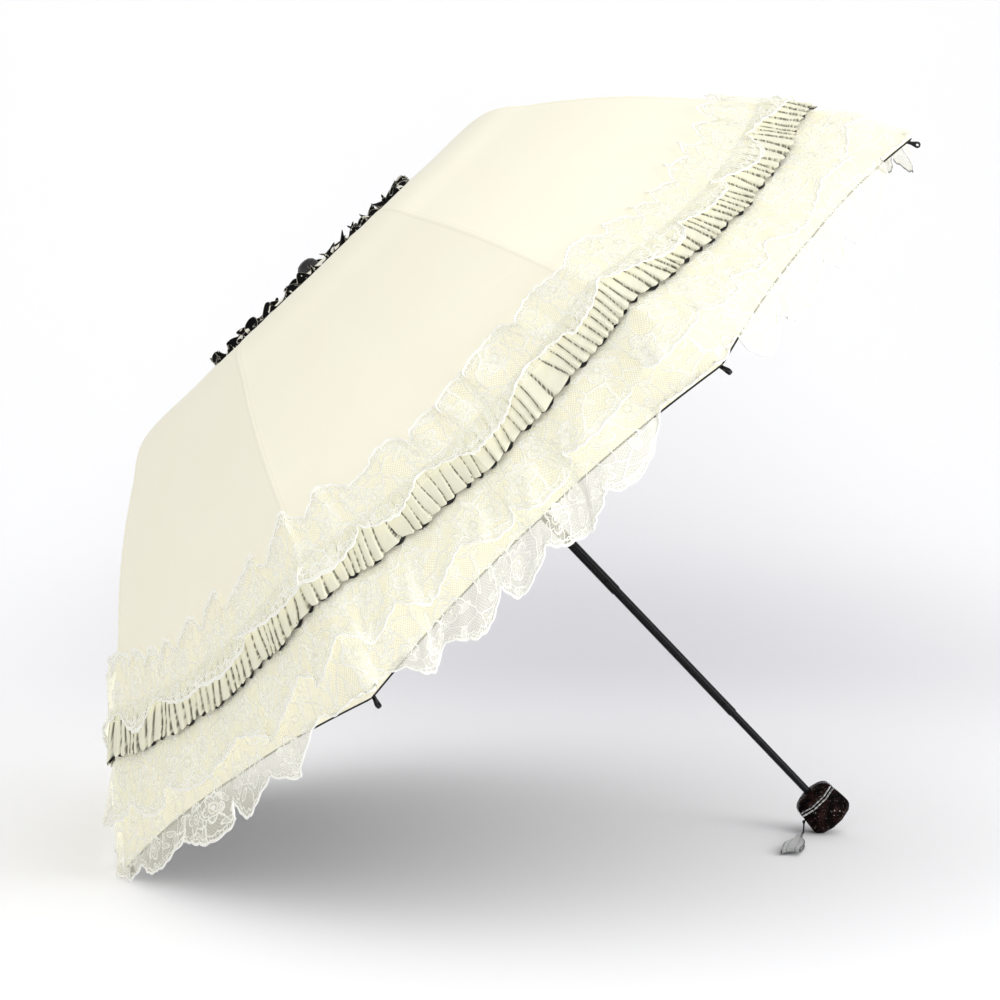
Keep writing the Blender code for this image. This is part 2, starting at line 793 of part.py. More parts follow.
def ribbon_mesh(shape):
    """The gathered band: a low crowned strip round the canopy."""
    rings = []
    for turn in turns_round(8):
        low, high = RIBBON
        section = [shape.at(low, turn, 0.0010), shape.at(low, turn, 0.0024)]
        section.append(shape.at((low + high) / 2, turn, 0.0062))
        section.append(shape.at(high, turn, 0.0030))
        section.append(shape.at(high, turn, 0.0010))
        rings.append(section)
    return loop_of_rings("ruched_ribbon", rings)


def upper_lace_mesh(shape):
    """A flounce that lies up the canopy from the ribbon, its free edge standing off in waves."""
    start, end = UPPER_LACE
    grid = []
    for row, share in enumerate(shares(start, end, 4)):
        free = 1 - row / 3
        line = []
        for turn in turns_round(4 * LACE_WAVES):
            wave = 0.5 + 0.5 * math.sin(turn * RIB_COUNT * LACE_WAVES)
            lift = 0.0016 + free * (0.0015 + 0.0045 * wave)
            line.append(shape.at(share + 0.012 * free * (wave - 0.5), turn, lift))
        grid.append(line)
    return shell("upper_lace", grid, LACE_THICKNESS, grid_normals(grid))


def lower_lace_grid(shape, to_world):
    """The hem flounce: over the canopy from the ribbon to the hem, then free, down to the floor."""
    steps = 4
    columns = []
    for turn in turns_round(4 * LACE_WAVES):
        wave = math.sin(turn * RIB_COUNT * LACE_WAVES)
        column = []
        for share in shares(LOWER_LACE_START, 0.995, 3):
            rise = (share - LOWER_LACE_START) / (1 - LOWER_LACE_START)
            column.append(to_world @ shape.at(share, turn, 0.0016 + 0.0030 * rise))
        here = column[-1]
        run = (here - column[-2]).normalized()
        out = to_world.to_3x3() @ Vector((math.cos(turn), math.sin(turn), 0.4))
        flat_out = Vector((out.x, out.y, 0)).normalized()
        step = (HEM_LACE + 0.004 * wave) / steps
        for i in range(steps):
            run = (run + Vector((0, 0, -0.10)) + out * (0.10 * wave * (i + 1) / steps)).normalized()
            there = here + run * step
            if there.z < FLOOR_GAP:
                there = Vector((here.x, here.y, FLOOR_GAP)) + flat_out * step
            column.append(there)
            here = there
        columns.append(column)
    return [list(row) for row in zip(*columns)]


def lower_lace_mesh(shape, to_world):
    grid = lower_lace_grid(shape, to_world)
    made = shell("lower_lace", grid, LACE_THICKNESS, grid_normals(grid))
    return moved(made, to_world.inverted())


def add_canopy(stand, to_world):
    shape = CanopyShape()
    node("canopy", canopy_mesh(shape), "cream", stand)
    node("crown_ruffle", crown_ruffle_mesh(shape), "cream", stand)
    node("upper_lace", upper_lace_mesh(shape), "lace", stand)
    node("ruched_ribbon", ribbon_mesh(shape), "cream", stand)
    node("lower_lace", lower_lace_mesh(shape, to_world), "lace", stand)


# ---------------------------------------------------------------- strap


def strap_anchor(to_world):
    """The knot's centre, just off the handle's lower flat, in the world's frame."""
    z, apothem = HANDLE_RINGS[6][0] + KNOT_PLACE[1], HANDLE_RINGS[6][1]
    local = Vector((apothem + KNOT_RADIUS + KNOT_GAP, KNOT_PLACE[0], z))
    return to_world @ local


def swept(name, path, radius, sides=6):
    """A round cord along a path that keeps clear of straight up."""
    rings = []
    for i, here in enumerate(path):
        before = path[max(i - 1, 0)]
        after = path[min(i + 1, len(path) - 1)]
        run = (after - before).normalized()
        side = run.cross(Vector((1, 0, 0))).normalized()
        top = side.cross(run)
        ring = []
        for x, y in circle((0, 0), radius, sides):
            ring.append(here + side * x + top * y)
        rings.append(ring)
    return rings_to_solid(name, rings)


def ball(centre, radius):
    made = bmesh.new()
    bmesh.ops.create_icosphere(made, subdivisions=1, radius=radius)
    bmesh.ops.translate(made, verts=made.verts, vec=centre)
    mesh = bpy.data.meshes.new("ball")
    made.to_mesh(mesh)
    made.free()
    return mesh


def cord_path(height):
    """From the knot down to the floor and forwards, relative to the knot."""
    floor = -height + CORD_REST
    ends = ((0, 0), (-0.0010, -0.35 * height), (-0.0050, -0.80 * height), (-0.0130, floor), (-0.0250, floor))
    curve = smooth_line(ends, 3)
    return [Vector((0, p.x, p.y)) for p in curve]


def add_strap(floor, to_world):
    anchor = strap_anchor(to_world)
    path = cord_path(anchor.z)
    swing = empty("strap_swing", floor, anchor, STRAP_TURN)
    cord = swept("strap_cord", path, CORD_RADIUS)
    end = path[-1]
    crimp_path = [end + Vector((0, CRIMP_HALF * share, 0)) for share in (1, 0, -1)]
    crimp = swept("crimp", crimp_path, CRIMP_RADIUS, 10)
    node("strap_cord", united(cord, ball((0, 0, 0), KNOT_RADIUS), crimp), "cord", swing)
    hinge = end + Vector((0, -TAG_HINGE, 0))
    node("strap_tag", tag_mesh(), "silver_ribbon", swing, hinge)


def along_cord(u, v, depth):
    return (depth, u, v)


def tag_mesh():
    """The wrist loop: a ribbon folded back on itself, lying flat, pinched where the crimp holds it."""
    wide, long, deep = TAG_SIZE
    half = deep / 2
    cloth = TAG_CLOTH
    outline = ((TAG_NECK, -cloth), (TAG_NECK, cloth), (0.0, 1.6 * cloth), (-long / 3, half), (-long, half))
    outline += ((-long - cloth, 0.0), (-long, -half), (-long / 3, -half), (0.0, -1.6 * cloth))
    fold = ((-long / 3, half - cloth), (-long + cloth, half - cloth), (-long + cloth, cloth - half))
    fold += ((-long / 3, cloth - half),)
    mesh = plate("strap_tag", [outline, fold], -wide / 2, wide / 2, along_cord)
    for vertex in mesh.vertices:
        share = min((TAG_NECK - vertex.co.y) / (TAG_NECK + long / 3), 1.0)
        vertex.co.x *= TAG_PINCH + (1 - TAG_PINCH) * share
    return mesh


# ---------------------------------------------------------------- the resting pose


def lean():
    """The shaft's angle above the floor when two rib tips and the handle's edge touch it."""
    tip = raised(TIP_CENTRE, LOW_RIB_FLEX)
    edge_z, edge_x = HANDLE_RINGS[FLOOR_RING]
    across = tip[0] * math.cos(GORE / 2) - edge_x
    down = tip[1] - edge_z
    angle = math.pi / 2 + math.asin(TIP_RING / math.hypot(across, down)) - math.atan2(down, across)
    height = edge_x * math.cos(angle) - edge_z * math.sin(angle)
    return angle, height


def stand_matrix():
    """From the upright frame to the floor: the handle points to +X, the ribs' lowest pair to -X."""
    angle, height = lean()
    c, s = math.cos(angle), math.sin(angle)
    return Matrix(((-s, 0, -c, 0), (0, -1, 0, 0), (-c, 0, s, height), (0, 0, 0, 1)))


def centre_on_floor(floor):
    """Slide the whole parasol so that the origin is under the middle of its box."""
    bpy.context.view_layer.update()
    low, high = Vector((9, 9, 9)), Vector((-9, -9, -9))
    for thing in bpy.data.objects:
        if thing.type != "MESH":
            continue
        for vertex in thing.data.vertices:
            place = thing.matrix_world @ vertex.co
            low = Vector(map(min, low, place))
            high = Vector(map(max, high, place))
    floor.location = (-(low.x + high.x) / 2, -(low.y + high.y) / 2, -low.z)


def main():
    clear_scene()
    to_world = stand_matrix()
    floor = empty("floor")
    stand = empty("stand", floor)
    stand.matrix_local = to_world
    add_shaft(stand)
    add_ribs(stand)
    add_canopy(stand, to_world)
    add_strap(floor, to_world)
    centre_on_floor(floor)
    bpy.context.view_layer.update()


main()
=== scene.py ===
"""The looks of an open lace parasol, built round its fixed CAD frame.

The cloth, the lace and the gathered ribbon are made one rib at a time: each piece covers half a gore to each
side of its rib and rides on the bar under it.
A place on the canopy is given by a share of the way from crown to hem and a turn round the shaft.
Metres throughout; the patterns in the cloth are drawn in millimetres.
"""

import json
import math

import bpy
import numpy as np
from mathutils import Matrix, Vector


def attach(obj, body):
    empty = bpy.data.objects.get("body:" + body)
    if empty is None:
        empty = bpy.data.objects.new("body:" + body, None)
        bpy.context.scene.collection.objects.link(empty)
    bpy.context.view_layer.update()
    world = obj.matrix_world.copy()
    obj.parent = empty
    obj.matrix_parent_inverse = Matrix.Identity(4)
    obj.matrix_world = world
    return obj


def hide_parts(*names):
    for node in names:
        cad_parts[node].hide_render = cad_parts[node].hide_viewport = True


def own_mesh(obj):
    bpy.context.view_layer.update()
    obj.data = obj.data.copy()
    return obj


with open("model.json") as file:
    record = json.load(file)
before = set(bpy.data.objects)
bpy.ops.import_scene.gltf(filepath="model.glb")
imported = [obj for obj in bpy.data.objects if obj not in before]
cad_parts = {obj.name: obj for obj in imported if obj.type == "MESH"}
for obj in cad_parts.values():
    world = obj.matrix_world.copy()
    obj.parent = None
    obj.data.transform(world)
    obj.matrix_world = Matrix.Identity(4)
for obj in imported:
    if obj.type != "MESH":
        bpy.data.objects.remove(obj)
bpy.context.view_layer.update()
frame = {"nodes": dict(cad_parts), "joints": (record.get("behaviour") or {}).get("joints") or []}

# The frame's own measures
RIB_COUNT = 8
GORE = 2 * math.pi / RIB_COUNT
CROWN_PIVOT = (0.0115, -0.0035)
ELBOW_1 = (0.200, -0.0090)
ELBOW_2 = (0.328, -0.1065)
RIB_END = (0.438, -0.2470)
BAR_SAG = 0.006
LOW_RIB_FLEX = math.radians(5)
CANOPY_LIFT = 0.0036
CANOPY_HOLE = 0.0040
CURVE_STEPS = 12
CHORD_SHARE = 0.78
HEM_SCALLOP = 0.014
GORE_SAG = 0.002

# The joint the runner slides on; the shaft's axis is taken from it
SLIDE = "runner_slide"

# Cloth; the pulls are shallow waves that run in from the ribs
CLOTH_THICKNESS = 0.0005
SEAM_STITCHES = 2.3
STITCH_PITCH = 3.2
CLOTH_COLUMNS = 40
SEAM_HALF = 0.0024
SEAM_RISE = 0.00045
HEM_CORD = 0.00075
PULL_HEIGHT = 0.0004
PULL_REACH = 0.035
PULL_COUNT = 46

# Uneven folds: the waves that shift them, and how far
UNEVEN_WAVES = (3, 7, 12, 19, 31, 47)
UNEVEN_SHARE = 0.20
UNEVEN_LIMIT = 1.6

# Crown ruffle
RUFFLE_RADIUS = 0.1105
RUFFLE_HEIGHT = 0.0086
RUFFLE_LEAST = 0.10
RUFFLE_FOLDS = 7
RUFFLE_COLUMNS = 200

# Gathered ribbon: its edges, as shares of the way from crown to hem, and which way each rib's pleats lap
RIBBON_RADIUS = 0.345
RIBBON = (0.812, 0.878)
RIBBON_RISE = 0.0050
RIBBON_COLUMNS = 360
RIBBON_PLEAT = 0.0078
RIBBON_STEP = 0.0090
PLEAT_WAY = (1, 1, -1, -1, -1, -1, 1, 1)
# Where the painted shade of each tuck lies in its pleat, and how wide it is
TUCK_PLACE = 0.975
TUCK_SHADE_WIDTH = (0.030, 0.085)
TUCK_WANDER = 1.3
BAND_BOW = 0.052
BAND_BOW_MEAN = 0.62

# Lace: its ends are shares as well. GLOW is how far its shadow is lightened; the setting after it is painted
# light, how brightly the lace's back glows, standing in for the light on its front shining through. The
# patterns are in millimetres, before LACE_SCALE.
HEM_RADIUS = 0.40
LACE_RADIUS = 0.36
UPPER_LACE = (0.826, 0.742)
UPPER_FRILL = (0.808, 0.838)
LOWER_LACE_START = 0.880
SHORT_LACE_END = 0.962
HEM_LACE = 0.034
TIP_LACE_SHARE = 0.04
TIP_SETBACK = 0.003
FLOOR_LACE_SHARE = 0.30
LACE_COLUMNS = 300
LACE_GATHER = 1.45
LOBE_DEPTH = 0.028
CORD_RADIUS = 0.00065
LACE_GLOW = 0.55
LACE_BACK_GLOW = 0.75
LACE_SCALE = 1.5
FLOWER_SPACING = 25.0
LEAF_SPACING = 11.5
VINE_SPACING = 15.0
# The lace's colour on its raised motifs and in its hollows: painted light and painted shade.
LACE_PAINTED_LIT = (0.89, 0.885, 0.80)
LACE_PAINTED_SHADE = (0.775, 0.76, 0.615)
NET_PITCH = 1.7
NET_GROUND = 0.42
NET_CONTRAST = 0.30
SCALLOP_DEPTH = 0.0016
SCALLOP_LENGTH = 0.0125
FLOOR_GAP = 0.0008

# Camera, softboxes (name, place, target, width, power), sky and paper
CAMERA_PLACE = (-0.1196, -2.6, 0.4908)
CAMERA_TILT = -0.0809
CAMERA_PAN = 0.0452
CAMERA_LENS = 113.8
SOFTBOXES = (
    ("key", (1.9, -1.5, 2.4), (0.0, 0.0, 0.25), 1.6, 6.5),
    ("top", (0.2, -1.0, 2.8), (0.0, 0.2, 0.0), 2.4, 6.5),
    ("under_fill", (1.6, -1.3, 0.7), (0.0, 0.0, 0.0), 1.0, 14.0),
    ("front_fill", (-0.5, -2.4, 0.9), (-0.1, 0.0, 0.05), 1.4, 4.5),
    ("backdrop_wash", (0.0, 1.6, 3.4), (0.0, 4.2, 1.6), 2.0, 12.0),
)
SKY_STRENGTH = 0.945
SKY_IN_REFLECTIONS = 0.30
SKY_LEFT_SHARE = 0.76
PAPER_WHITE = (0.965, 0.965, 0.975)
# The paper's soft grey is painted shade, laid some way behind the parasol.
PAPER_PAINTED_SHADE = (0.66, 0.655, 0.69)
PAPER_SHADE_PLACE = (0.15, 1.15)
PAPER_SHADE_ACROSS = 0.95
PAPER_SHADE_FRONT = 1.1
PAPER_SHADE_BACK = 3.0


# ---- places on the canopy

UPRIGHT = np.array((0.0, 0.0, 1.0))
JOINTS = {joint["name"]: joint for joint in frame["joints"]}


def unit(v):
    v = np.asarray(v, float)
    return v / np.linalg.norm(v, axis=-1, keepdims=True)


def pivot(name):
    return np.array(JOINTS[name]["pos_m"])


CROWN_RING = np.array([pivot(f"crown_hinge_{k + 1}") for k in range(RIB_COUNT)])
UP = -unit(JOINTS[SLIDE]["axis"])
ORIGIN = CROWN_RING.mean(0) - UP * CROWN_PIVOT[1]
OUT = unit(unit(CROWN_RING[0] - CROWN_RING.mean(0)) + unit(CROWN_RING[-1] - CROWN_RING.mean(0)))
SIDE = np.cross(UP, OUT)


def rib_turn(k):
    return GORE * (k + 0.5)


def outward(turn):
    turn = np.asarray(turn)[..., None]
    return np.cos(turn) * OUT + np.sin(turn) * SIDE


def tangent(turn):
    return np.cross(UP, outward(turn))


def to_world(x, y, z):
    return ORIGIN + x[..., None] * OUT + y[..., None] * SIDE + z[..., None] * UP


def bowed(start, end, sag, steps):
    """Points on a shallow arc from start to end that bulges away from the shaft."""
    start, end = np.array(start), np.array(end)
    share = np.linspace(0, 1, steps + 1)[:, None]
    run = unit(end - start)
    rise = np.array((-run[1], run[0]))
    return start + (end - start) * share + rise * sag * 4 * share * (1 - share)


def distances(path):
    """How far along a path each of its points lies."""
    return np.append(0, np.cumsum(np.linalg.norm(np.diff(path, axis=0), axis=1)))


def smooth_line(points, steps):
    """A curve through the points (Catmull-Rom)."""
    points = np.asarray(points, float)
    knots = np.vstack([2 * points[0] - points[1], points, 2 * points[-1] - points[-2]])
    t = np.arange(steps)[:, None] / steps
    parts = []
    for a, b, c, d in zip(knots, knots[1:], knots[2:], knots[3:]):
        square = (2 * a - 5 * b + 4 * c - d) * t**2
        cube = (3 * b - a - 3 * c + d) * t**3
        parts.append((2 * b + (c - a) * t + square + cube) / 2)
    parts.append(points[-1:])
    return np.vstack(parts)


def rib_line():
    """Points of the canopy over a rib, from the crown to the hem, as (radius, height)."""
    inner = bowed(CROWN_PIVOT, ELBOW_1, 0, 3)
    middle = bowed(ELBOW_1, ELBOW_2, BAR_SAG, 4)
    outer = bowed(ELBOW_2, RIB_END, BAR_SAG, 4)
    centre = inner[0] + unit(inner[1] - inner[0]) * (CANOPY_HOLE - CROWN_PIVOT[0])
    points = np.vstack([inner[1:], middle[1:], outer[1:]])
    before = np.vstack([inner[:1], points[:-1]])
    before[3], before[7] = points[2], points[6]
    after = np.vstack([points[1:], points[-1:]])
    run = unit(after - before)
    lifted = points + CANOPY_LIFT * np.column_stack([-run[:, 1], run[:, 0]])
    return np.vstack([centre + (0, CANOPY_LIFT), lifted])


def join(*values):
    """One vector at each point of a grid."""
    return np.stack(np.broadcast_arrays(*values), -1)


def smooth_step(x):
    x = np.clip(x, 0, 1)
    return x * x * (3 - 2 * x)


def wrapped(angle, period):
    return angle - period * np.round(angle / period)


def flexed(r, z, angle):
    """Points past the second elbow, swung upwards about it."""
    x, h = r - ELBOW_2[0], z - ELBOW_2[1]
    c, s = np.cos(angle), np.sin(angle)
    past = r > ELBOW_2[0]
    return np.where(past, ELBOW_2[0] + x * c - h * s, r), np.where(past, ELBOW_2[1] + x * s + h * c, z)


class Skin:
    """The canopy's surface."""

    def __init__(self):
        self.line = smooth_line(rib_line(), CURVE_STEPS)
        self.reach = distances(self.line)
        self.length = self.reach[-1]
        self.run = unit(np.gradient(self.line, axis=0))
        self.elbows = [self.reach[i * CURVE_STEPS] / self.length for i in (3, 7)]

    def at(self, share, turn, lift=0.0):
        share, turn = np.broadcast_arrays(np.asarray(share, float), np.asarray(turn, float))
        away = np.abs(wrapped(turn - GORE / 2, GORE))
        hem = self.length - HEM_SCALLOP * (1 - (1 - away / (GORE / 2)) ** 2)
        distance = share * hem
        values = (*self.line.T, *self.run.T)
        r, z, run_r, run_z = (np.interp(distance, self.reach, value) for value in values)
        flex = LOW_RIB_FLEX * smooth_step(1.5 - np.abs(wrapped(turn, 2 * math.pi)) / GORE)
        past = r > ELBOW_2[0]
        r, z = flexed(r, z, flex)
        c, s = np.cos(flex * past), np.sin(flex * past)
        run_r, run_z = run_r * c - run_z * s, run_r * s + run_z * c
        chord = math.cos(GORE / 2) / np.cos(GORE / 2 - away)
        flatness = 1 - CHORD_SHARE * (1 - chord) * np.minimum(1, 3 * share)
        radius = (r - run_z * lift) * flatness
        height = z + run_r * lift - GORE_SAG * (away / (GORE / 2)) ** 2 * share
        return to_world(radius * np.cos(turn), radius * np.sin(turn), height)

    def arc(self, share, turn, centre):
        """Distance sideways from the rib, along the cloth."""
        r = np.interp(np.asarray(share) * self.length, self.reach, self.line[:, 0])
        return r * (np.asarray(turn) - centre)


SKIN = Skin()


# ---- building pieces


def columns(k, count):
    """Turns across one rib's pieces, with one extra column at each side for the normals."""
    step = GORE / (count - 1)
    return rib_turn(k) - GORE / 2 + step * np.arange(-1, count + 1)


def grid_normals(grid, outside):
    """Unit normals of a padded grid, turned to the side that outside points to."""
    down = np.gradient(grid, axis=0)
    across = np.gradient(grid, axis=1)
    normals = np.cross(across, down)
    length = np.linalg.norm(normals, axis=-1, keepdims=True)
    normals = normals / np.maximum(length, 1e-12)
    if np.sum(normals * outside) < 0:
        normals = -normals
    return normals


def grid_faces(rows, count, start=0):
    row, i = np.meshgrid(np.arange(rows - 1), np.arange(count - 1), indexing="ij")
    a = (start + row * count + i).ravel()
    return np.column_stack([a, a + 1, a + count + 1, a + count])


def facing_out(grid, normals):
    """The grid's faces, wound so that they face the way the normals do."""
    faces = grid_faces(*grid.shape[:2])
    corners = grid.reshape(-1, 3)[faces]
    winding = np.cross(corners[:, 1] - corners[:, 0], corners[:, 3] - corners[:, 0])
    if np.sum(winding * normals.reshape(-1, 3)[faces[:, 0]]) < 0:
        faces = faces[:, ::-1]
    return faces


class Piece:
    """One shown piece: sheets and cords gathered into a single mesh."""

    def __init__(self):
        self.points, self.normals, self.uvs, self.rims = [], [], [], []
        self.faces, self.slots, self.finishes = [], [], []
        self.count = 0

    def add(self, points, normals, uv, rim, faces, finish):
        if finish not in self.finishes:
            self.finishes.append(finish)
        self.points.append(points.reshape(-1, 3))
        self.normals.append(normals.reshape(-1, 3))
        self.uvs.append(uv.reshape(-1, 2))
        self.rims.append(rim.reshape(-1, 2))
        self.faces.append(faces + self.count)
        self.slots.append(np.full(len(faces), self.finishes.index(finish)))
        self.count += self.points[-1].shape[0]

    def sheet(self, grid, uv, finish, rim=None, thickness=0.0, lining=None, outside=None):
        """A sheet from a grid whose first and last columns are only there for the normals."""
        rim = np.ones_like(uv) if rim is None else rim
        outside = UP if outside is None else outside
        normals = grid_normals(grid, outside)
        grid, normals, uv, rim = grid[:, 1:-1], normals[:, 1:-1], uv[:, 1:-1], rim[:, 1:-1]
        faces = facing_out(grid, normals)
        if not thickness:
            self.add(grid, normals, uv, rim, faces, finish)
            return
        self.add(grid + normals * thickness / 2, normals, uv, rim, faces, finish)
        self.add(grid - normals * thickness / 2, -normals, uv, rim, faces[:, ::-1], lining or finish)
        self.edge_strip(grid, normals, uv, rim, thickness, finish)

    def edge_strip(self, grid, normals, uv, rim, thickness, finish):
        """The cut edge all round a thick sheet."""
        rows, count = grid.shape[:2]
        loop = [(0, i) for i in range(count)] + [(r, count - 1) for r in range(1, rows)]
        loop += [(rows - 1, i) for i in range(count - 2, -1, -1)] + [(r, 0) for r in range(rows - 2, 0, -1)]
        r, i = np.array(loop).T
        path, normal = grid[r, i], normals[r, i]
        middle = grid.reshape(-1, 3).mean(0)
        strip = np.stack([path + normal * thickness / 2, path - normal * thickness / 2])
        facing = unit(np.broadcast_to(path - middle, strip.shape))
        size = len(loop)
        a = np.arange(size)
        b = (a + 1) % size
        faces = np.column_stack([a, b, b + size, a + size])
        self.add(strip, facing, np.stack([uv[r, i]] * 2), np.stack([rim[r, i]] * 2), faces, finish)

    def cord(self, path, radius, finish, sides=6, guide=None):
        """A round cord along a path."""
        run = unit(np.gradient(path, axis=0))
        guide = UP if guide is None else guide
        side = unit(np.cross(run, guide))
        top = np.cross(side, run)
        turn = np.linspace(0, 2 * math.pi, sides + 1)
        radius = np.broadcast_to(radius, len(path))[:, None, None]
        normals = np.cos(turn)[None, :, None] * side[:, None] + np.sin(turn)[None, :, None] * top[:, None]
        grid = path[:, None] + normals * radius
        uv = join(distances(path)[:, None], turn[None] * radius[:, :, 0])
        self.add(grid, normals, uv, np.ones_like(uv), facing_out(grid, normals), finish)

    def build(self, name, body, node, slot, rib=None):
        mesh = bpy.data.meshes.new(name)
        faces = np.vstack(self.faces)
        mesh.from_pydata(np.vstack(self.points).tolist(), [], faces.tolist())
        for layer, values in (("UVMap", self.uvs), ("rim", self.rims)):
            data = mesh.uv_layers.new(name=layer).data
            data.foreach_set("uv", np.vstack(values)[faces.ravel()].astype(np.float32).ravel())
        for finish in self.finishes:
            mesh.materials.append(finish)
        mesh.polygons.foreach_set("material_index", np.concatenate(self.slots).astype(np.int32))
        mesh.shade_smooth()
        mesh.normals_split_custom_set_from_vertices(unit(np.vstack(self.normals) + 1e-12).tolist())
        place(name, mesh, body, node, slot, rib)


def show(name, data):
    """A new object in the scene."""
    made = bpy.data.objects.new(name, data)
    bpy.context.scene.collection.objects.link(made)
    return made


def place(name, mesh, body, node, slot, rib=None):
    """Puts a finished mesh on its body, in place of its CAD node."""
    made = show(name, mesh)
    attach(made, body)
    if rib is not None:
        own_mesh(made)
    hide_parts(node)


# ---- materials


class Nodes:
    """A shader tree under construction."""

    def __init__(self, tree):
        self.tree = tree

    def put(self, socket, value):
        if isinstance(value, bpy.types.NodeSocket):
            self.tree.links.new(value, socket)
        elif isinstance(value, tuple) and len(value) == 3 and socket.type == "RGBA":
            socket.default_value = (*value, 1.0)
        else:
            socket.default_value = value

    def add(self, kind, inputs=(), **settings):
        made = self.tree.nodes.new("ShaderNode" + kind)
        for name, value in settings.items():
            setattr(made, name, value)
        for socket, value in dict(inputs).items():
            self.put(made.inputs[socket], value)
        return made

    def split(self, vector):
        made = self.add("SeparateXYZ", {0: vector})
        return made.outputs[0], made.outputs[1]

    def math(self, operation, a, b=0.0, c=0.0):
        return self.add("Math", {0: a, 1: b, 2: c}, operation=operation).outputs[0]

    def vector(self, operation, a, b):
        return self.add("VectorMath", {0: a, 1: b}, operation=operation).outputs[0]

    def scaled(self, vector, factor):
        return self.add("VectorMath", {0: vector, 3: factor}, operation="SCALE").outputs[0]

    def times(self, a, b):
        return self.math("MULTIPLY", a, b)

    def ramp(self, value, gain, start):
        return self.math("MULTIPLY_ADD", value, gain, start)

    def apart(self, a, b):
        return self.math("ABSOLUTE", self.math("SUBTRACT", a, b))

    def wave(self, value, rate):
        return self.math("SINE", self.times(value, rate))

    def arches(self, value, rate):
        return self.math("ABSOLUTE", self.wave(value, rate))


class Paint(Nodes):
    """A node material under construction."""

    def __init__(self, name):
        self.material = bpy.data.materials.new(name)
        self.material.use_nodes = True
        super().__init__(self.material.node_tree)
        self.shader = self.tree.nodes["Principled BSDF"]

    def set(self, **values):
        for name, value in values.items():
            self.put(self.shader.inputs[name.replace("_", " ")], value)

    def uv(self, layer="UVMap", scale=1000.0):
        return self.scaled(self.add("UVMap", uv_map=layer).outputs[0], scale)

    def object_place(self, scale=1000.0):
        return self.scaled(self.add("TexCoord").outputs["Object"], scale)

    def step(self, value, start, end, low=1.0, high=0.0):
        """low before start, high after end, smooth between."""
        inputs = {0: value, 1: start, 2: end, 3: low, 4: high}
        return self.add("MapRange", inputs, interpolation_type="SMOOTHSTEP").outputs[0]

    def noise(self, vector, size, detail=2.0, colour=False):
        made = self.add("TexNoise", {"Vector": vector, "Scale": 1.0 / size, "Detail": detail})
        return made.outputs["Color" if colour else "Fac"]

    def cells(self, vector, size, feature="F1", randomness=1.0):
        inputs = {"Vector": vector, "Scale": 1.0 / size, "Randomness": randomness}
        return self.add("TexVoronoi", inputs, voronoi_dimensions="2D", feature=feature)

    def largest(self, *values):
        top = values[0]
        for value in values[1:]:
            top = self.math("MAXIMUM", top, value)
        return top

    def blend(self, share, a, b):
        made = self.add("Mix", data_type="RGBA")
        self.put(made.inputs[0], share)
        self.put(made.inputs[6], a)
        self.put(made.inputs[7], b)
        return made.outputs[2]

    def relief(self, height, distance, strength=1.0):
        made = self.add("Bump", {"Strength": strength, "Distance": distance, "Height": height})
        self.put(self.shader.inputs["Normal"], made.outputs[0])


def weave(paint, vector, pitch):
    """Over-and-under threads."""
    x, y = paint.split(vector)
    rate = 2 * math.pi / pitch
    return paint.times(paint.wave(x, rate), paint.wave(y, rate))


def dashes(paint, along, pitch):
    """1 on a stitch, 0 between stitches."""
    return paint.step(paint.wave(along, 2 * math.pi / pitch), -0.4, 0.1, 0.0, 1.0)


def canopy_cloth():
    paint = Paint("cream_canopy_cloth")
    uv = paint.uv()
    across, along = paint.split(uv)
    line = paint.apart(paint.math("ABSOLUTE", across), SEAM_STITCHES)
    seam = paint.step(line, 0.35, 0.9)
    stitches = paint.times(paint.step(line, 0.2, 0.5), dashes(paint, along, STITCH_PITCH))
    tone = paint.noise(uv, 90.0, 3.0)
    cloth = paint.blend(tone, (0.905, 0.868, 0.70), (0.935, 0.905, 0.765))
    cloth = paint.blend(paint.times(seam, 0.35), cloth, (0.80, 0.77, 0.62))
    fine = paint.times(weave(paint, uv, 0.55), 0.05)
    creases = paint.times(paint.noise(uv, 26.0, 3.0), 0.55)
    height = paint.math("ADD", paint.math("ADD", fine, creases), paint.times(stitches, 0.3))
    paint.set(Base_Color=cloth, Roughness=0.66, Sheen_Weight=0.08, Sheen_Roughness=0.5)
    paint.set(Specular_IOR_Level=0.35)
    paint.relief(height, 0.0006, 0.35)
    return paint.material


def lining_cloth():
    paint = Paint("black_lining")
    uv = paint.uv()
    tone = paint.noise(uv, 40.0, 3.0)
    paint.set(Base_Color=paint.blend(tone, (0.012, 0.012, 0.014), (0.022, 0.021, 0.024)))
    paint.set(Roughness=0.55, Sheen_Weight=0.15)
    paint.relief(paint.math("ADD", weave(paint, uv, 0.6), tone), 0.0002, 0.3)
    return paint.material


def ruffle_cloth():
    """Black frill with a cream rolled edge and cream threads showing through the folds."""
    paint = Paint("black_ruffle_cloth")
    uv = paint.uv()
    rim = paint.split(paint.uv("rim"))[0]
    patches = paint.step(paint.noise(uv, 6.0, 2.0), 0.60, 0.63, 0.0, 1.0)
    cream = paint.largest(paint.step(rim, 0.15, 0.3, 0.5), patches)
    paint.set(Base_Color=paint.blend(cream, (0.004, 0.004, 0.004), (0.90, 0.88, 0.78)))
    paint.set(Roughness=0.8, Specular_IOR_Level=0.1)
    paint.relief(paint.math("ADD", weave(paint, uv, 0.6), paint.noise(uv, 4.0)), 0.0003, 0.4)
    return paint.material


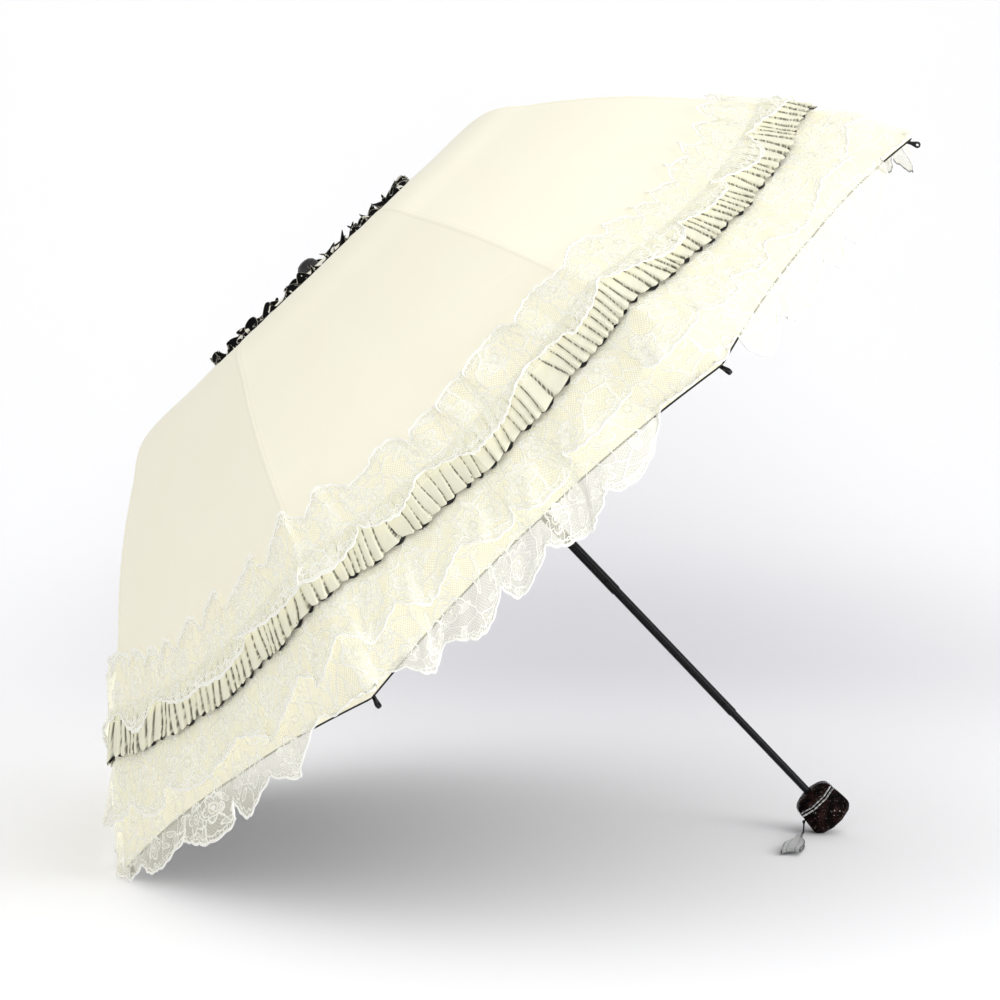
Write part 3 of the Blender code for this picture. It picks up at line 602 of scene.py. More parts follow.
def ribbon_cloth():
    """Cream satin with painted shade along its tucks, in dark lines of uneven length."""
    paint = Paint("ruched_satin")
    uv = paint.uv()
    pleats = paint.math("SUBTRACT", paint.split(paint.uv("rim"))[0], TUCK_PLACE)
    from_tuck = paint.apart(pleats, paint.math("ROUND", pleats))
    tone = paint.noise(uv, 12.0, 3.0)
    satin = paint.blend(tone, (0.78, 0.76, 0.58), (0.87, 0.85, 0.70))
    streaks = paint.vector("MULTIPLY", uv, (1.0, 0.12, 0.0))
    breaks = paint.vector("MULTIPLY", uv, (1.0, 0.22, 0.0))
    tuck_shade_breaks = paint.step(paint.noise(breaks, 4.0, 1.0), 0.36, 0.58, 0.18, 1.0)
    # Painted shade: a dark line along each tuck, broken in places.
    painted_tuck_shade = paint.times(paint.step(from_tuck, *TUCK_SHADE_WIDTH), tuck_shade_breaks)
    satin = paint.blend(paint.times(painted_tuck_shade, 0.92), satin, (0.09, 0.085, 0.055))
    paint.set(Base_Color=satin, Roughness=0.42, Sheen_Weight=0.15, Specular_IOR_Level=0.4)
    paint.relief(paint.noise(streaks, 1.8, 2.0), 0.0008, 0.45)
    return paint.material


def scattered(paint, place, spacing, randomness):
    """The way from the nearest of many scattered points, and a number from 0 to 1 that is its own."""
    cells = paint.cells(place, spacing, randomness=randomness)
    offset = paint.vector("SUBTRACT", place, cells.outputs["Position"])
    return offset, paint.split(cells.outputs["Color"])[0]


def flower_pattern(paint, place):
    """Five-petalled flowers with pierced hearts, scattered: (density, relief)."""
    offset, chance = scattered(paint, place, FLOWER_SPACING, 0.75)
    x, y = paint.split(offset)
    r = paint.add("VectorMath", {0: offset}, operation="LENGTH").outputs["Value"]
    angle = paint.math("ADD", paint.math("ARCTAN2", y, x), paint.times(chance, 6.28))
    petal = paint.arches(angle, 2.5)
    size = paint.ramp(chance, 3.0, 6.5)
    edge = paint.times(size, paint.ramp(petal, 0.42, 0.58))
    inside = paint.math("SUBTRACT", edge, r)
    body = paint.step(inside, -0.2, 0.3, 0.0, 1.0)
    outline = paint.step(paint.math("ABSOLUTE", inside), 0.45, 0.95)
    veins = paint.step(paint.arches(angle, 7.5), 0.15, 0.55)
    ring = paint.step(paint.apart(r, 2.4), 0.35, 0.7)
    heart = paint.step(r, 1.0, 1.4)
    fill = paint.times(body, paint.ramp(veins, 0.45, 0.45))
    density = paint.largest(fill, outline, paint.times(ring, body), heart)
    return density, paint.largest(outline, heart, paint.times(fill, 0.7))


def leaf_pattern(paint, place):
    """Small pointed leaves that lie at all angles."""
    offset, chance = scattered(paint, place, LEAF_SPACING, 1.0)
    inputs = {"Vector": offset, "Angle": paint.times(chance, 6.28)}
    turned = paint.add("VectorRotate", inputs, rotation_type="Z_AXIS").outputs[0]
    x, y = paint.split(turned)
    long = paint.math("POWER", paint.math("DIVIDE", x, 4.6), 2.0)
    wide = paint.math("POWER", paint.math("DIVIDE", y, 1.7), 2.0)
    inside = paint.math("ADD", long, wide)
    outline = paint.step(paint.apart(inside, 0.85), 0.2, 0.4)
    body = paint.step(inside, 0.85, 1.1)
    return paint.largest(outline, paint.times(body, 0.6))


def vine_pattern(paint, place):
    """Winding stems that join the flowers."""
    shift = paint.scaled(paint.noise(place, 16.0, 2.0, colour=True), 9.0)
    bent = paint.vector("ADD", place, shift)
    cells = paint.cells(bent, VINE_SPACING, feature="DISTANCE_TO_EDGE")
    return paint.step(cells.outputs["Distance"], 0.018, 0.045)


def net_pattern(paint, place):
    """The fine diamond net that carries the flowers."""
    x, y = paint.split(place)
    rate = math.pi / NET_PITCH
    up = paint.arches(paint.math("ADD", x, y), rate)
    down = paint.arches(paint.math("SUBTRACT", x, y), rate)
    return paint.step(paint.math("MINIMUM", up, down), 0.18, 0.42)


def border_pattern(paint):
    """Corded bands that follow the scalloped free edge."""
    inward, along = paint.split(paint.uv("rim"))
    bow = paint.arches(along, math.pi / 9.0)
    second = paint.math("SUBTRACT", inward, paint.ramp(bow, -2.2, 6.2))
    band = paint.step(inward, 1.6, 2.2)
    line = paint.step(paint.math("ABSOLUTE", second), 0.45, 0.9)
    spoke = paint.arches(along, math.pi / 2.6)
    bars = paint.times(paint.step(spoke, 0.35, 0.6), paint.step(second, -0.2, 0.2))
    return paint.largest(band, line, paint.times(bars, 0.8))


def lace_cloth():
    """Sheer net with raised flowers, leaves, stems and a corded border."""
    paint = Paint("floral_lace")
    place = paint.uv(scale=1000.0 / LACE_SCALE)
    flowers, raised = flower_pattern(paint, place)
    leaves = leaf_pattern(paint, place)
    vines = vine_pattern(paint, place)
    border = border_pattern(paint)
    net = paint.ramp(net_pattern(paint, place), NET_CONTRAST, NET_GROUND)
    motif = paint.largest(flowers, leaves, vines, border)
    density = paint.math("MINIMUM", paint.largest(net, motif), 1.0)
    height = paint.largest(raised, paint.times(leaves, 0.8), vines, border)
    rays = paint.add("LightPath").outputs
    indirect = paint.math("MAXIMUM", rays["Is Shadow Ray"], rays["Is Diffuse Ray"])
    passed = paint.ramp(indirect, -LACE_GLOW, 1.0)
    # Painted light on the raised motifs, painted shade in the hollows.
    paint.set(Base_Color=paint.blend(height, LACE_PAINTED_SHADE, LACE_PAINTED_LIT))
    paint.set(Alpha=paint.times(density, passed))
    # Painted light: the back of the lace glows, standing in for light that passes through from its front.
    painted_back_glow = paint.times(paint.add("NewGeometry").outputs["Backfacing"], LACE_BACK_GLOW)
    paint.set(Emission_Color=LACE_PAINTED_LIT, Emission_Strength=painted_back_glow)
    paint.set(Roughness=0.8, Specular_IOR_Level=0.2)
    paint.relief(height, 0.0009, 0.65)
    return paint.material


def thread(name, colour, roughness=0.6):
    """Twisted thread."""
    paint = Paint(name)
    along, round_ = paint.split(paint.uv())
    twist = paint.wave(paint.math("ADD", along, round_), 2 * math.pi / 0.9)
    darker = tuple(0.86 * c for c in colour)
    paint.set(Base_Color=paint.blend(paint.ramp(twist, 0.25, 0.3), colour, darker))
    paint.set(Roughness=roughness, Specular_IOR_Level=0.2)
    paint.relief(twist, 0.0001, 0.4)
    return paint.material


def lacquered_steel(name, base, worn, roughness):
    """Black lacquer with faint handling marks."""
    paint = Paint(name)
    place = paint.object_place()
    marks = paint.noise(place, 9.0, 4.0)
    scuffs = paint.step(paint.noise(place, 2.2, 4.0), 0.68, 0.76, 0.0, 1.0)
    paint.set(Base_Color=paint.blend(paint.times(scuffs, 0.35), base, worn))
    paint.set(Roughness=paint.ramp(marks, 0.18, roughness), Metallic=0.2)
    paint.set(Specular_IOR_Level=0.2)
    paint.relief(marks, 0.0002, 0.15)
    return paint.material


def nylon():
    """Moulded black nylon with a fine grain."""
    paint = Paint("moulded_nylon")
    place = paint.object_place()
    grain = paint.noise(place, 0.6, 3.0)
    tone = paint.noise(place, 8.0, 2.0)
    paint.set(Base_Color=paint.blend(tone, (0.016, 0.016, 0.017), (0.03, 0.03, 0.031)))
    paint.set(Roughness=paint.ramp(tone, 0.2, 0.35))
    paint.relief(grain, 0.00015, 0.35)
    return paint.material


def plated_steel():
    """Bright plating with fine brushed lines, and dark and bright clouds in its colour: painted reflections.
    """
    paint = Paint("plated_steel")
    place = paint.object_place()
    brushed = paint.noise(place, 0.8, 4.0)
    cloud = paint.step(paint.noise(place, 3.0, 3.0), 0.35, 0.65, 0.0, 1.0)
    # Painted reflections: the clouds of dark and bright in the plating's colour make its glints uneven.
    paint.set(Base_Color=paint.blend(cloud, (0.22, 0.22, 0.22), (0.86, 0.86, 0.85)), Metallic=1.0)
    paint.set(Roughness=paint.ramp(brushed, 0.25, 0.12))
    paint.relief(brushed, 0.00008, 0.3)
    return paint.material


def marbled_resin():
    """Near-black resin with brown clouds and pale flecks."""
    paint = Paint("marbled_resin")
    place = paint.object_place()
    cloud = paint.step(paint.noise(place, 9.0, 4.0), 0.42, 0.72, 0.0, 1.0)
    flecks = paint.step(paint.noise(place, 1.2, 3.0), 0.665, 0.71, 0.0, 1.0)
    resin = paint.blend(cloud, (0.004, 0.003, 0.003), (0.030, 0.014, 0.012))
    resin = paint.blend(flecks, resin, (0.70, 0.66, 0.64))
    paint.set(Base_Color=resin, Metallic=flecks, Roughness=0.18, IOR=1.04)
    paint.relief(paint.noise(place, 4.0, 2.0), 0.0004, 0.12)
    return paint.material


def silver_satin():
    """Grey satin ribbon with dark woven edges."""
    paint = Paint("silver_satin")
    uv = paint.uv()
    rim = paint.split(paint.uv("rim"))[0]
    tone = paint.noise(uv, 5.0, 3.0)
    satin = paint.blend(tone, (0.30, 0.31, 0.30), (0.58, 0.59, 0.57))
    across = paint.split(uv)[0]
    stripe = paint.step(paint.apart(paint.math("ABSOLUTE", across), 3.4), 0.3, 0.6)
    dark = paint.largest(paint.step(rim, 0.9, 1.3), paint.times(stripe, 0.6))
    paint.set(Base_Color=paint.blend(dark, satin, (0.03, 0.03, 0.03)), Roughness=0.32, Metallic=0.25)
    paint.set(Sheen_Weight=0.4)
    paint.relief(paint.math("ADD", weave(paint, uv, 0.5), tone), 0.0003, 0.4)
    return paint.material


# ---- canopy


def seam_rise(across):
    """The folded seam stands a little above the cloth."""
    return SEAM_RISE * (1 - smooth_step((np.abs(across) - SEAM_HALF * 0.8) / (SEAM_HALF * 0.4)))


def canopy_columns(k):
    """Turns packed closer round the seam."""
    side = np.linspace(0, 1, CLOTH_COLUMNS // 2) ** 1.6
    half = np.concatenate([-side[::-1], side[1:]]) * GORE / 2
    step = half[-1] - half[-2]
    return rib_turn(k) + np.concatenate([[half[0] - step], half, [half[-1] + step]])


def tension(share, across, turn):
    """Shallow pulls that run in from the rib towards the hem."""
    near = np.exp(-np.abs(across) / PULL_REACH)
    wave = np.sin(2 * math.pi * share * PULL_COUNT + 3 * np.sin(turn * 5))
    return PULL_HEIGHT * near * wave * smooth_step(share * 2 - 0.6)


def add_canopy(cloth, lining, cord):
    marks = (0.0, *SKIN.elbows, 1.0)
    bodies = ("inner_rib", "middle_rib", "outer_rib")
    for k in range(RIB_COUNT):
        turn = canopy_columns(k)[None]
        for kind, start, end in zip(bodies, marks, marks[1:]):
            share = np.linspace(start, end, 30)[:, None]
            across = SKIN.arc(share, turn, rib_turn(k))
            lift = seam_rise(across) + tension(share, across, turn)
            grid = SKIN.at(share, turn, lift)
            uv = join(across, share * SKIN.length)
            piece = Piece()
            piece.sheet(grid, uv, cloth, thickness=CLOTH_THICKNESS, lining=lining)
            if kind == "outer_rib":
                piece.cord(SKIN.at(1.001, canopy_columns(k)[1:-1], -0.0004), HEM_CORD, cord)
            part = kind.split("_")[0]
            piece.build(f"canopy_{part}_{k + 1}", f"{kind}_{k + 1}", "canopy", "cream_fabric", k)


def uneven(turn, folds, seed):
    """A phase that runs round the shaft in whole folds of uneven width."""
    phase = folds * RIB_COUNT * turn
    for i, harmonic in enumerate(UNEVEN_WAVES):
        swing = min(UNEVEN_LIMIT, UNEVEN_SHARE * folds * RIB_COUNT / harmonic)
        phase = phase + swing * np.sin(harmonic * turn + seed * (i + 1.7))
    return phase


def band_seat(share, turn):
    """The trimmings run straighter than the hem: nearer the crown over the ribs than between them."""
    away = np.abs(wrapped(turn - GORE / 2, GORE)) / (GORE / 2)
    bow = 1 - (1 - away) ** 2
    return share + BAND_BOW * (bow - BAND_BOW_MEAN)


def add_ruffle(cloth):
    """A frill that stands in a ring round the crown."""
    share = RUFFLE_RADIUS / SKIN.length
    rise = np.linspace(0, 1, 9)[:, None]
    for k in range(RIB_COUNT):
        turn = columns(k, RUFFLE_COLUMNS)[None]
        phase = uneven(turn, RUFFLE_FOLDS, 2.3)
        bend = np.sin(phase) + 0.35 * np.sin(2 * phase + 1.0)
        swell = np.sin(uneven(turn, 5, 0.4)) * 0.6 + np.sin(uneven(turn, 11, 3.4)) * 0.4
        height = RUFFLE_HEIGHT * np.maximum(0.40 + 0.62 * swell, RUFFLE_LEAST)
        foot = SKIN.at(share, turn, 0.0002)
        curl = 0.0040 * rise**1.3 * bend - 0.003 * np.sin(rise * 2.6) * rise
        slip = 0.0052 * rise**1.5 * np.cos(phase)
        grid = foot + outward(turn) * curl[..., None] + tangent(turn) * slip[..., None]
        grid = grid + UP * (rise * height)[..., None]
        along = SKIN.arc(share, turn, 0.0) * 1.8
        uv = join(along, rise * height)
        rim = join((1 - rise) * height, along)
        piece = Piece()
        piece.sheet(grid, uv, cloth, rim=rim, thickness=0.0004, outside=outward(turn).mean((0, 1)))
        piece.build(f"crown_ruffle_{k + 1}", f"inner_rib_{k + 1}", "crown_ruffle", "cream_fabric", k)


# ---- gathered ribbon


def pleat_profile(phase):
    """Height of flat pleats that lap one over the next."""
    share = (phase / (2 * math.pi)) % 1.0
    rise = np.clip(share / 0.86, 0, 1) ** 0.7
    return rise * (1 - smooth_step((share - 0.86) / 0.14))


def add_ribbon(satin, backing):
    folds = round(2 * math.pi * RIBBON_RADIUS / RIB_COUNT / RIBBON_PLEAT)
    down = np.linspace(0, 1, 16)[:, None]
    for k in range(RIB_COUNT):
        turn = columns(k, RIBBON_COLUMNS)[None]
        fan = np.sin(uneven(turn, 3, 6.2))
        wander = TUCK_WANDER * np.sin(uneven(turn, 9, 3.3) + 2.5 * down) * down
        phase = PLEAT_WAY[k] * (uneven(turn, folds, 4.1) + (1.2 + 2.6 * fan) * down + wander)
        pleat = pleat_profile(phase)
        slow = np.sin(uneven(turn, 5, 1.2))
        crown = np.sin(math.pi * (0.08 + 0.80 * down)) ** 0.6
        flick = smooth_step((down - 0.66) / 0.34)
        lift = 0.0010 + RIBBON_RISE * (0.42 + 0.22 * slow) * crown + 0.0030 * pleat * (0.35 + 0.65 * down)
        lift = lift + flick * (0.0004 + 0.0016 * pleat)
        share = RIBBON[0] + (RIBBON[1] - RIBBON[0]) * down
        share = band_seat(share, turn) + flick * RIBBON_STEP * (pleat - 0.55 + 0.35 * slow)
        grid = SKIN.at(share, turn, lift)
        along = SKIN.arc(share, turn, 0.0)
        uv = join(along * 1.6, down * 0.026)
        rim = join(phase / (2 * math.pi) / 1000, down)
        piece = Piece()
        piece.sheet(grid, uv, satin, rim=rim, thickness=0.0004, lining=backing)
        add_backing(piece, backing, turn, slow)
        piece.build(f"ruched_ribbon_{k + 1}", f"outer_rib_{k + 1}", "ruched_ribbon", "cream_fabric", k)


def add_backing(piece, backing, turn, slow):
    """The black tape the ribbon is gathered on; it shows here and there below the lower edge."""
    down = np.linspace(0, 1, 5)[:, None]
    patchy = np.sin(uneven(turn, 17, 7.0))
    end = RIBBON[1] - 0.0032 + 0.0022 * slow + 0.0048 * patchy
    share = band_seat(RIBBON[0] + 0.012 + (end - RIBBON[0] - 0.012) * down, turn)
    grid = SKIN.at(share, turn, 0.0008 + 0.0010 * np.sin(math.pi * down) + 0.0010 * down)
    along = SKIN.arc(share, turn, 0.0)
    uv = join(along, down * 0.02)
    piece.sheet(grid, uv, backing, thickness=0.0004)


# ---- lace


def scallops(turn, seed):
    """How far the free edge dips between its small scallops."""
    count = round(2 * math.pi * HEM_RADIUS * LACE_GATHER / SCALLOP_LENGTH / RIB_COUNT)
    phase = count * RIB_COUNT * turn / 2 + seed
    return SCALLOP_DEPTH * (1 - np.abs(np.sin(phase)))


def folded(grid, normals, turn, free, seed, folds, high, lean):
    """Lays a flat strip into uneven leaning folds that open towards its free edge."""
    phase = uneven(turn, folds, seed)
    wave = np.maximum(0.5 + 0.5 * np.sin(phase) + 0.12 * np.sin(2 * phase + seed), 0.0)
    sway = 0.65 + 0.35 * np.sin(uneven(turn, 1, seed + 2.0))
    way = np.tanh(3 * np.sin(5 * turn + seed))
    up = free**0.8 * high * wave * sway
    along = free**1.2 * lean * sway * way * (wave - 0.5)
    ripple = 0.0006 * free * np.sin(3 * phase + 9 * free)
    return grid + normals * (up + ripple)[..., None] + tangent(turn) * along[..., None]


def lace_uv(turn, free, width):
    """Places in the lace's pattern, and in its border."""
    along = LACE_RADIUS * LACE_GATHER * turn
    inward = (1 - free) * width
    return join(along, -inward), join(inward, along)


def add_upper_lace(lace, cord):
    """A flounce that lies up the canopy, and its corded frill over the ribbon's upper edge."""
    for k in range(RIB_COUNT):
        turn = columns(k, LACE_COLUMNS)[None]
        piece = Piece()
        lay_strip(piece, lace, cord, turn, UPPER_LACE, (0.0050, 0.0016), 3.1, 12, 0.0062, 0.015)
        lay_strip(piece, lace, cord, turn, UPPER_FRILL, (0.0052, 0.0078), 5.9, 8, 0.0050, 0.026, folds=4)
        piece.build(f"upper_lace_{k + 1}", f"outer_rib_{k + 1}", "upper_lace", "lace_fabric", k)


def lay_strip(piece, lace, cord, turn, ends, lifts, seed, rows, high, lean, folds=7):
    """A strip of lace over the canopy from its stitched edge to its free edge."""
    free = np.linspace(0, 1, rows)[:, None]
    start, end = ends
    way = 1 if end > start else -1
    lobes = np.abs(np.sin(uneven(turn, folds / 2, seed)))
    sway = LOBE_DEPTH * (lobes - 0.55) + 0.006 * np.sin(uneven(turn, 2, seed + 4.0))
    lift = lifts[0] + (lifts[1] - lifts[0]) * free
    dip = scallops(turn, seed) / SKIN.length * free**3
    share = band_seat(start + (end - start) * free + way * (sway * free**1.5 - dip), turn)
    flat = SKIN.at(share, turn, lift)
    normals = grid_normals(flat, UP)
    grid = folded(flat, normals, turn, free, seed, folds, high, lean)
    uv, rim = lace_uv(turn, free, abs(end - start) * SKIN.length)
    piece.sheet(grid, uv, lace, rim=rim)
    piece.cord(grid[-1, 1:-1], CORD_RADIUS, cord, sides=5)


def hanging_rows(turn, rows, length, lift):
    """A strip that starts at the hem and falls freely: its points, row by row."""
    start = hanging_start(turn)
    here = SKIN.at(start, turn, lift)
    heading = unit(here - SKIN.at(start - 0.019, turn, lift))
    flat_out = unit((outward(turn) + 0.35 * UP) * (1, 1, 0))
    step = length / rows
    grid = []
    for _ in range(rows):
        heading = unit(heading - UPRIGHT * 0.20)
        there = here + heading * step[..., None]
        low = there[..., 2] < FLOOR_GAP
        slide = here + flat_out * step[..., None]
        slide[..., 2] = FLOOR_GAP
        here = np.where(low[..., None], slide, there)
        heading = np.where(low[..., None], flat_out, heading)
        grid.append(here)
    return np.array(grid)


def from_tip(turn):
    """0 round a rib tip off the floor, where the lace stops short of the hem, and 1 elsewhere."""
    away = wrapped(turn - GORE / 2, GORE) / (GORE / 2)
    free = smooth_step((np.abs(away + 0.08) - 0.18) / 0.30)
    on_floor = smooth_step(2.2 - 2 * np.abs(wrapped(turn, 2 * math.pi)) / GORE)
    return np.maximum(free, on_floor)


def hanging_start(turn):
    return 0.998 - TIP_SETBACK * (1 - from_tip(turn))


def hanging_length(turn):
    """How far the lace hangs past the hem: least at the rib tips and where it meets the floor."""
    share = TIP_LACE_SHARE + (1 - TIP_LACE_SHARE) * from_tip(turn)
    from_floor = np.abs(wrapped(turn, 2 * math.pi)) / GORE
    share = share * (FLOOR_LACE_SHARE + (1 - FLOOR_LACE_SHARE) * smooth_step((from_floor - 0.35) / 0.5))
    lobes = np.abs(np.sin(uneven(turn, 2.5, 0.6)))
    return HEM_LACE * share * (0.62 + 0.55 * lobes)


def add_lower_lace(lace, cord):
    """The long flounce: from the ribbon over the hem, then hanging free."""
    over, free_rows = 12, 12
    for k in range(RIB_COUNT):
        turn = columns(k, LACE_COLUMNS)
        length = hanging_length(turn) - scallops(turn, 1.0)
        first = band_seat(LOWER_LACE_START, turn)
        part = np.linspace(0, 1, over)[:, None]
        share = first + (hanging_start(turn) - first) * part
        top = SKIN.at(share, turn[None], 0.0014 + 0.0012 * part)
        rest = hanging_rows(turn, free_rows, length, 0.0026)
        flat = np.concatenate([top, rest])
        span = (0.994 - LOWER_LACE_START) * SKIN.length
        free = np.concatenate([np.linspace(0, 0.62, over), np.linspace(0.65, 1, free_rows)])[:, None]
        normals = grid_normals(flat, UP)
        grid = folded(flat, normals, turn[None], free, 1.4, 5, 0.0105, 0.022)
        grid[..., 2] = np.maximum(grid[..., 2], FLOOR_GAP)
        uv, rim = lace_uv(turn[None], free, span + HEM_LACE)
        piece = Piece()
        piece.sheet(grid, uv, lace, rim=rim)
        piece.cord(grid[-1, 1:-1], CORD_RADIUS * 1.2, cord, sides=5)
        piece.build(f"lower_lace_{k + 1}", f"outer_rib_{k + 1}", "lower_lace", "lace_fabric", k)


def add_short_lace(lace, cord):
    """The shorter flounce that lies over the long one."""
    for k in range(RIB_COUNT):
        turn = columns(k, LACE_COLUMNS)[None]
        piece = Piece()
        ends = (LOWER_LACE_START, SHORT_LACE_END)
        lay_strip(piece, lace, cord, turn, ends, (0.0022, 0.0050), 8.3, 14, 0.0095, 0.024, folds=5)
        piece.build(f"short_lace_{k + 1}", f"outer_rib_{k + 1}", "lower_lace", "lace_fabric", k)


# ---- shaft, handle and strap

HANDLE_PROFILE = (
    (-0.5988, 0.0036), (-0.5989, 0.0085), (-0.5997, 0.0108), (-0.6012, 0.0138), (-0.6034, 0.0162),
    (-0.6052, 0.0171), (-0.6060, 0.0172), (-0.6064, 0.0168), (-0.6066, 0.0160), (-0.6104, 0.0161),
    (-0.6108, 0.0172), (-0.6112, 0.0177), (-0.6180, 0.0186), (-0.6245, 0.0191), (-0.6262, 0.0191),
    (-0.6285, 0.0185), (-0.6306, 0.0168), (-0.6326, 0.0146), (-0.6338, 0.0115), (-0.6342, 0.0090),
    (-0.6343, 0.0001),
)
BAND_PROFILE = (
    (-0.60645, 0.0164), (-0.60645, 0.0178), (-0.6069, 0.0181), (-0.6074, 0.0179), (-0.6078, 0.01765),
    (-0.6085, 0.01785), (-0.6092, 0.01765), (-0.6096, 0.0179), (-0.6101, 0.0181), (-0.61055, 0.0178),
    (-0.61055, 0.0164),
)
BAND_INLAY = (4, 5)
FLAT_SHARPNESS = 60
STRAP_FLOOR = 0.0022
CRIMP_RADIUS = 0.0016
CORD_INSET = 0.0040
CORD_ROOT_RADIUS = 0.00062
TAG_WIDTH = 0.0160


def eight_sided(profile, sides=192):
    """Rounded eight-sided rings round the shaft, from (height, half width across flats)."""
    turn = np.linspace(0, 2 * math.pi, sides + 1)
    sharp = np.zeros_like(turn)
    for k in range(8):
        sharp += np.clip(np.cos(turn - k * math.pi / 4), 0, 1) ** FLAT_SHARPNESS
    shape = sharp ** (-1.0 / FLAT_SHARPNESS)
    height, half_width = np.array(profile).T[..., None]
    radius = half_width * shape
    return to_world(radius * np.cos(turn), radius * np.sin(turn), height + 0 * radius)


def solid_of_rings(name, grid, finish):
    """A mesh from rings; its edges stay crisp where the profile bends sharply."""
    mesh = bpy.data.meshes.new(name)
    faces = facing_out(grid, grid - grid.mean((0, 1)))
    mesh.from_pydata(grid.reshape(-1, 3).tolist(), [], faces.tolist())
    mesh.materials.append(finish)
    mesh.shade_smooth()
    mesh.set_sharp_from_angle(angle=math.radians(40))
    return mesh


def add_handle(resin, plated):
    mesh = solid_of_rings("handle_grip", eight_sided(HANDLE_PROFILE), resin)
    place("handle_grip", mesh, "tube_4", "handle", "dark_resin")
    mesh = solid_of_rings("handle_ring", eight_sided(BAND_PROFILE), plated)
    mesh.materials.append(resin)
    rows = np.repeat(np.arange(len(BAND_PROFILE) - 1), len(mesh.polygons) // (len(BAND_PROFILE) - 1))
    inlay = (rows >= BAND_INLAY[0]) & (rows <= BAND_INLAY[1])
    mesh.polygons.foreach_set("material_index", inlay.astype(np.int32))
    place("handle_ring", mesh, "tube_4", "handle_band", "bright_steel")


def ball_grid(centre, radius, rings=10, sides=20):
    polar = np.linspace(0.001, math.pi - 0.001, rings)[:, None]
    turn = np.linspace(0, 2 * math.pi, sides + 1)[None]
    direction = join(np.sin(polar) * np.cos(turn), np.sin(polar) * np.sin(turn), np.cos(polar))
    return centre + direction * radius, direction


def strap_frame():
    """Where the cord leaves the handle, its heading on the floor and the tag's hinge."""
    top = pivot("strap_cord_swing")
    hinge = pivot("strap_tag_swing")
    heading = unit((hinge - top) * (1, 1, 0))
    return top, hinge, heading


def add_cord(thread_finish, plated):
    """Three strands twisted together, a knot and a crimp."""
    top, _, heading = strap_frame()
    drop = top[2]
    floor = STRAP_FLOOR - drop
    ends = ((0, 0), (0.0010, -0.35 * drop), (0.0050, -0.80 * drop), (0.0130, floor), (0.0250, floor))
    line = smooth_line(ends, 24)
    path = top + line[:, :1] * heading + line[:, 1:] * UPRIGHT
    run = unit(np.gradient(path, axis=0))
    across = unit(np.cross(heading, UPRIGHT))
    over = np.cross(across, run)
    reach = distances(path)[:, None]
    piece = Piece()
    axis = ORIGIN + UP * np.dot(top - ORIGIN, UP)
    inside = top + unit(axis - top) * CORD_INSET
    piece.cord(np.linspace(inside, top, 5), CORD_ROOT_RADIUS, thread_finish, sides=10, guide=across)
    for strand in range(3):
        turn = reach / 0.0032 * 2 * math.pi + strand * 2 * math.pi / 3
        offset = 0.00034 * (np.cos(turn) * across + np.sin(turn) * over)
        piece.cord(path + offset, 0.00036, thread_finish, sides=8, guide=across)
    for shift, size in ((0.0, 0.0013), (0.0009, 0.0011)):
        grid, normals = ball_grid(path[0] + run[0] * shift, size)
        uv = np.zeros((*grid.shape[:2], 2)) + grid[..., :2]
        piece.add(grid, normals, uv, np.ones_like(uv), facing_out(grid, normals), thread_finish)
    crimp = path[-1] - heading * np.linspace(0.0030, -0.0031, 13)[:, None]
    swell = 1 - 0.18 * np.sin(np.linspace(0, 3 * math.pi, 13)) ** 2
    swell[0], swell[-1] = 0.4, 0.4
    piece.cord(crimp, CRIMP_RADIUS * swell, plated, sides=16, guide=across)
    piece.build("strap_cord_strands", "strap_cord", "strap_cord", "strap_cord")


def add_tag(satin):
    """A satin ribbon doubled into a loop and pinched at the crimp."""
    _, hinge, heading = strap_frame()
    across = unit(np.cross(heading, UPRIGHT))
    line = ((-0.0026, 0.0003), (0.0060, 0.0008), (0.0200, 0.0024), (0.0380, 0.0014), (0.0560, 0.0020))
    line += ((0.0680, 0.0014), (0.0702, 0.0002), (0.0680, -0.0012), (0.0540, -0.0014), (0.0360, -0.0016))
    line += ((0.0180, -0.0008), (0.0060, -0.0012), (-0.0026, -0.0003))
    line = smooth_line(line, 6)
    share = np.linspace(-1, 1, 17)
    step = share[1] - share[0]
    share = np.concatenate([[share[0] - step], share, [share[-1] + step]])[None]
    along, up = line[:, :1], line[:, 1:]
    wide = TAG_WIDTH / 2 * (0.25 + 0.75 * smooth_step((along - 0.0160) / 0.0200))
    sag = 0.0008 * np.sin(along * 150 + 1.0) * share + 0.0006 * np.cos(share * 2.4)
    slant = 0.0014 * share**2
    grid = hinge + (along + slant)[..., None] * heading + (wide * share)[..., None] * across
    grid = grid + (up + sag)[..., None] * UPRIGHT
    grid[..., 2] = np.maximum(grid[..., 2], 0.0005)
    reach = distances(line)[:, None]
    uv = join(wide * share, reach)
    rim = join(wide * (1 - np.abs(share)), reach)
    piece = Piece()
    piece.sheet(grid, uv, satin, rim=rim, thickness=0.0003, outside=UPRIGHT)
    piece.build("strap_ribbon_tag", "strap_tag", "strap_tag", "silver_ribbon")


def dress_frame(steel, tube, black, plated):
    """Gives every carried-over CAD node its finish."""
    finishes = {"tube": tube, "crown": black, "runner": black, "detent": steel}
    for name, node in frame["nodes"].items():
        finish = plated if name == "runner_button" else finishes.get(name.split("_")[0], steel)
        node.data.materials.clear()
        node.data.materials.append(finish)


# ---- stage


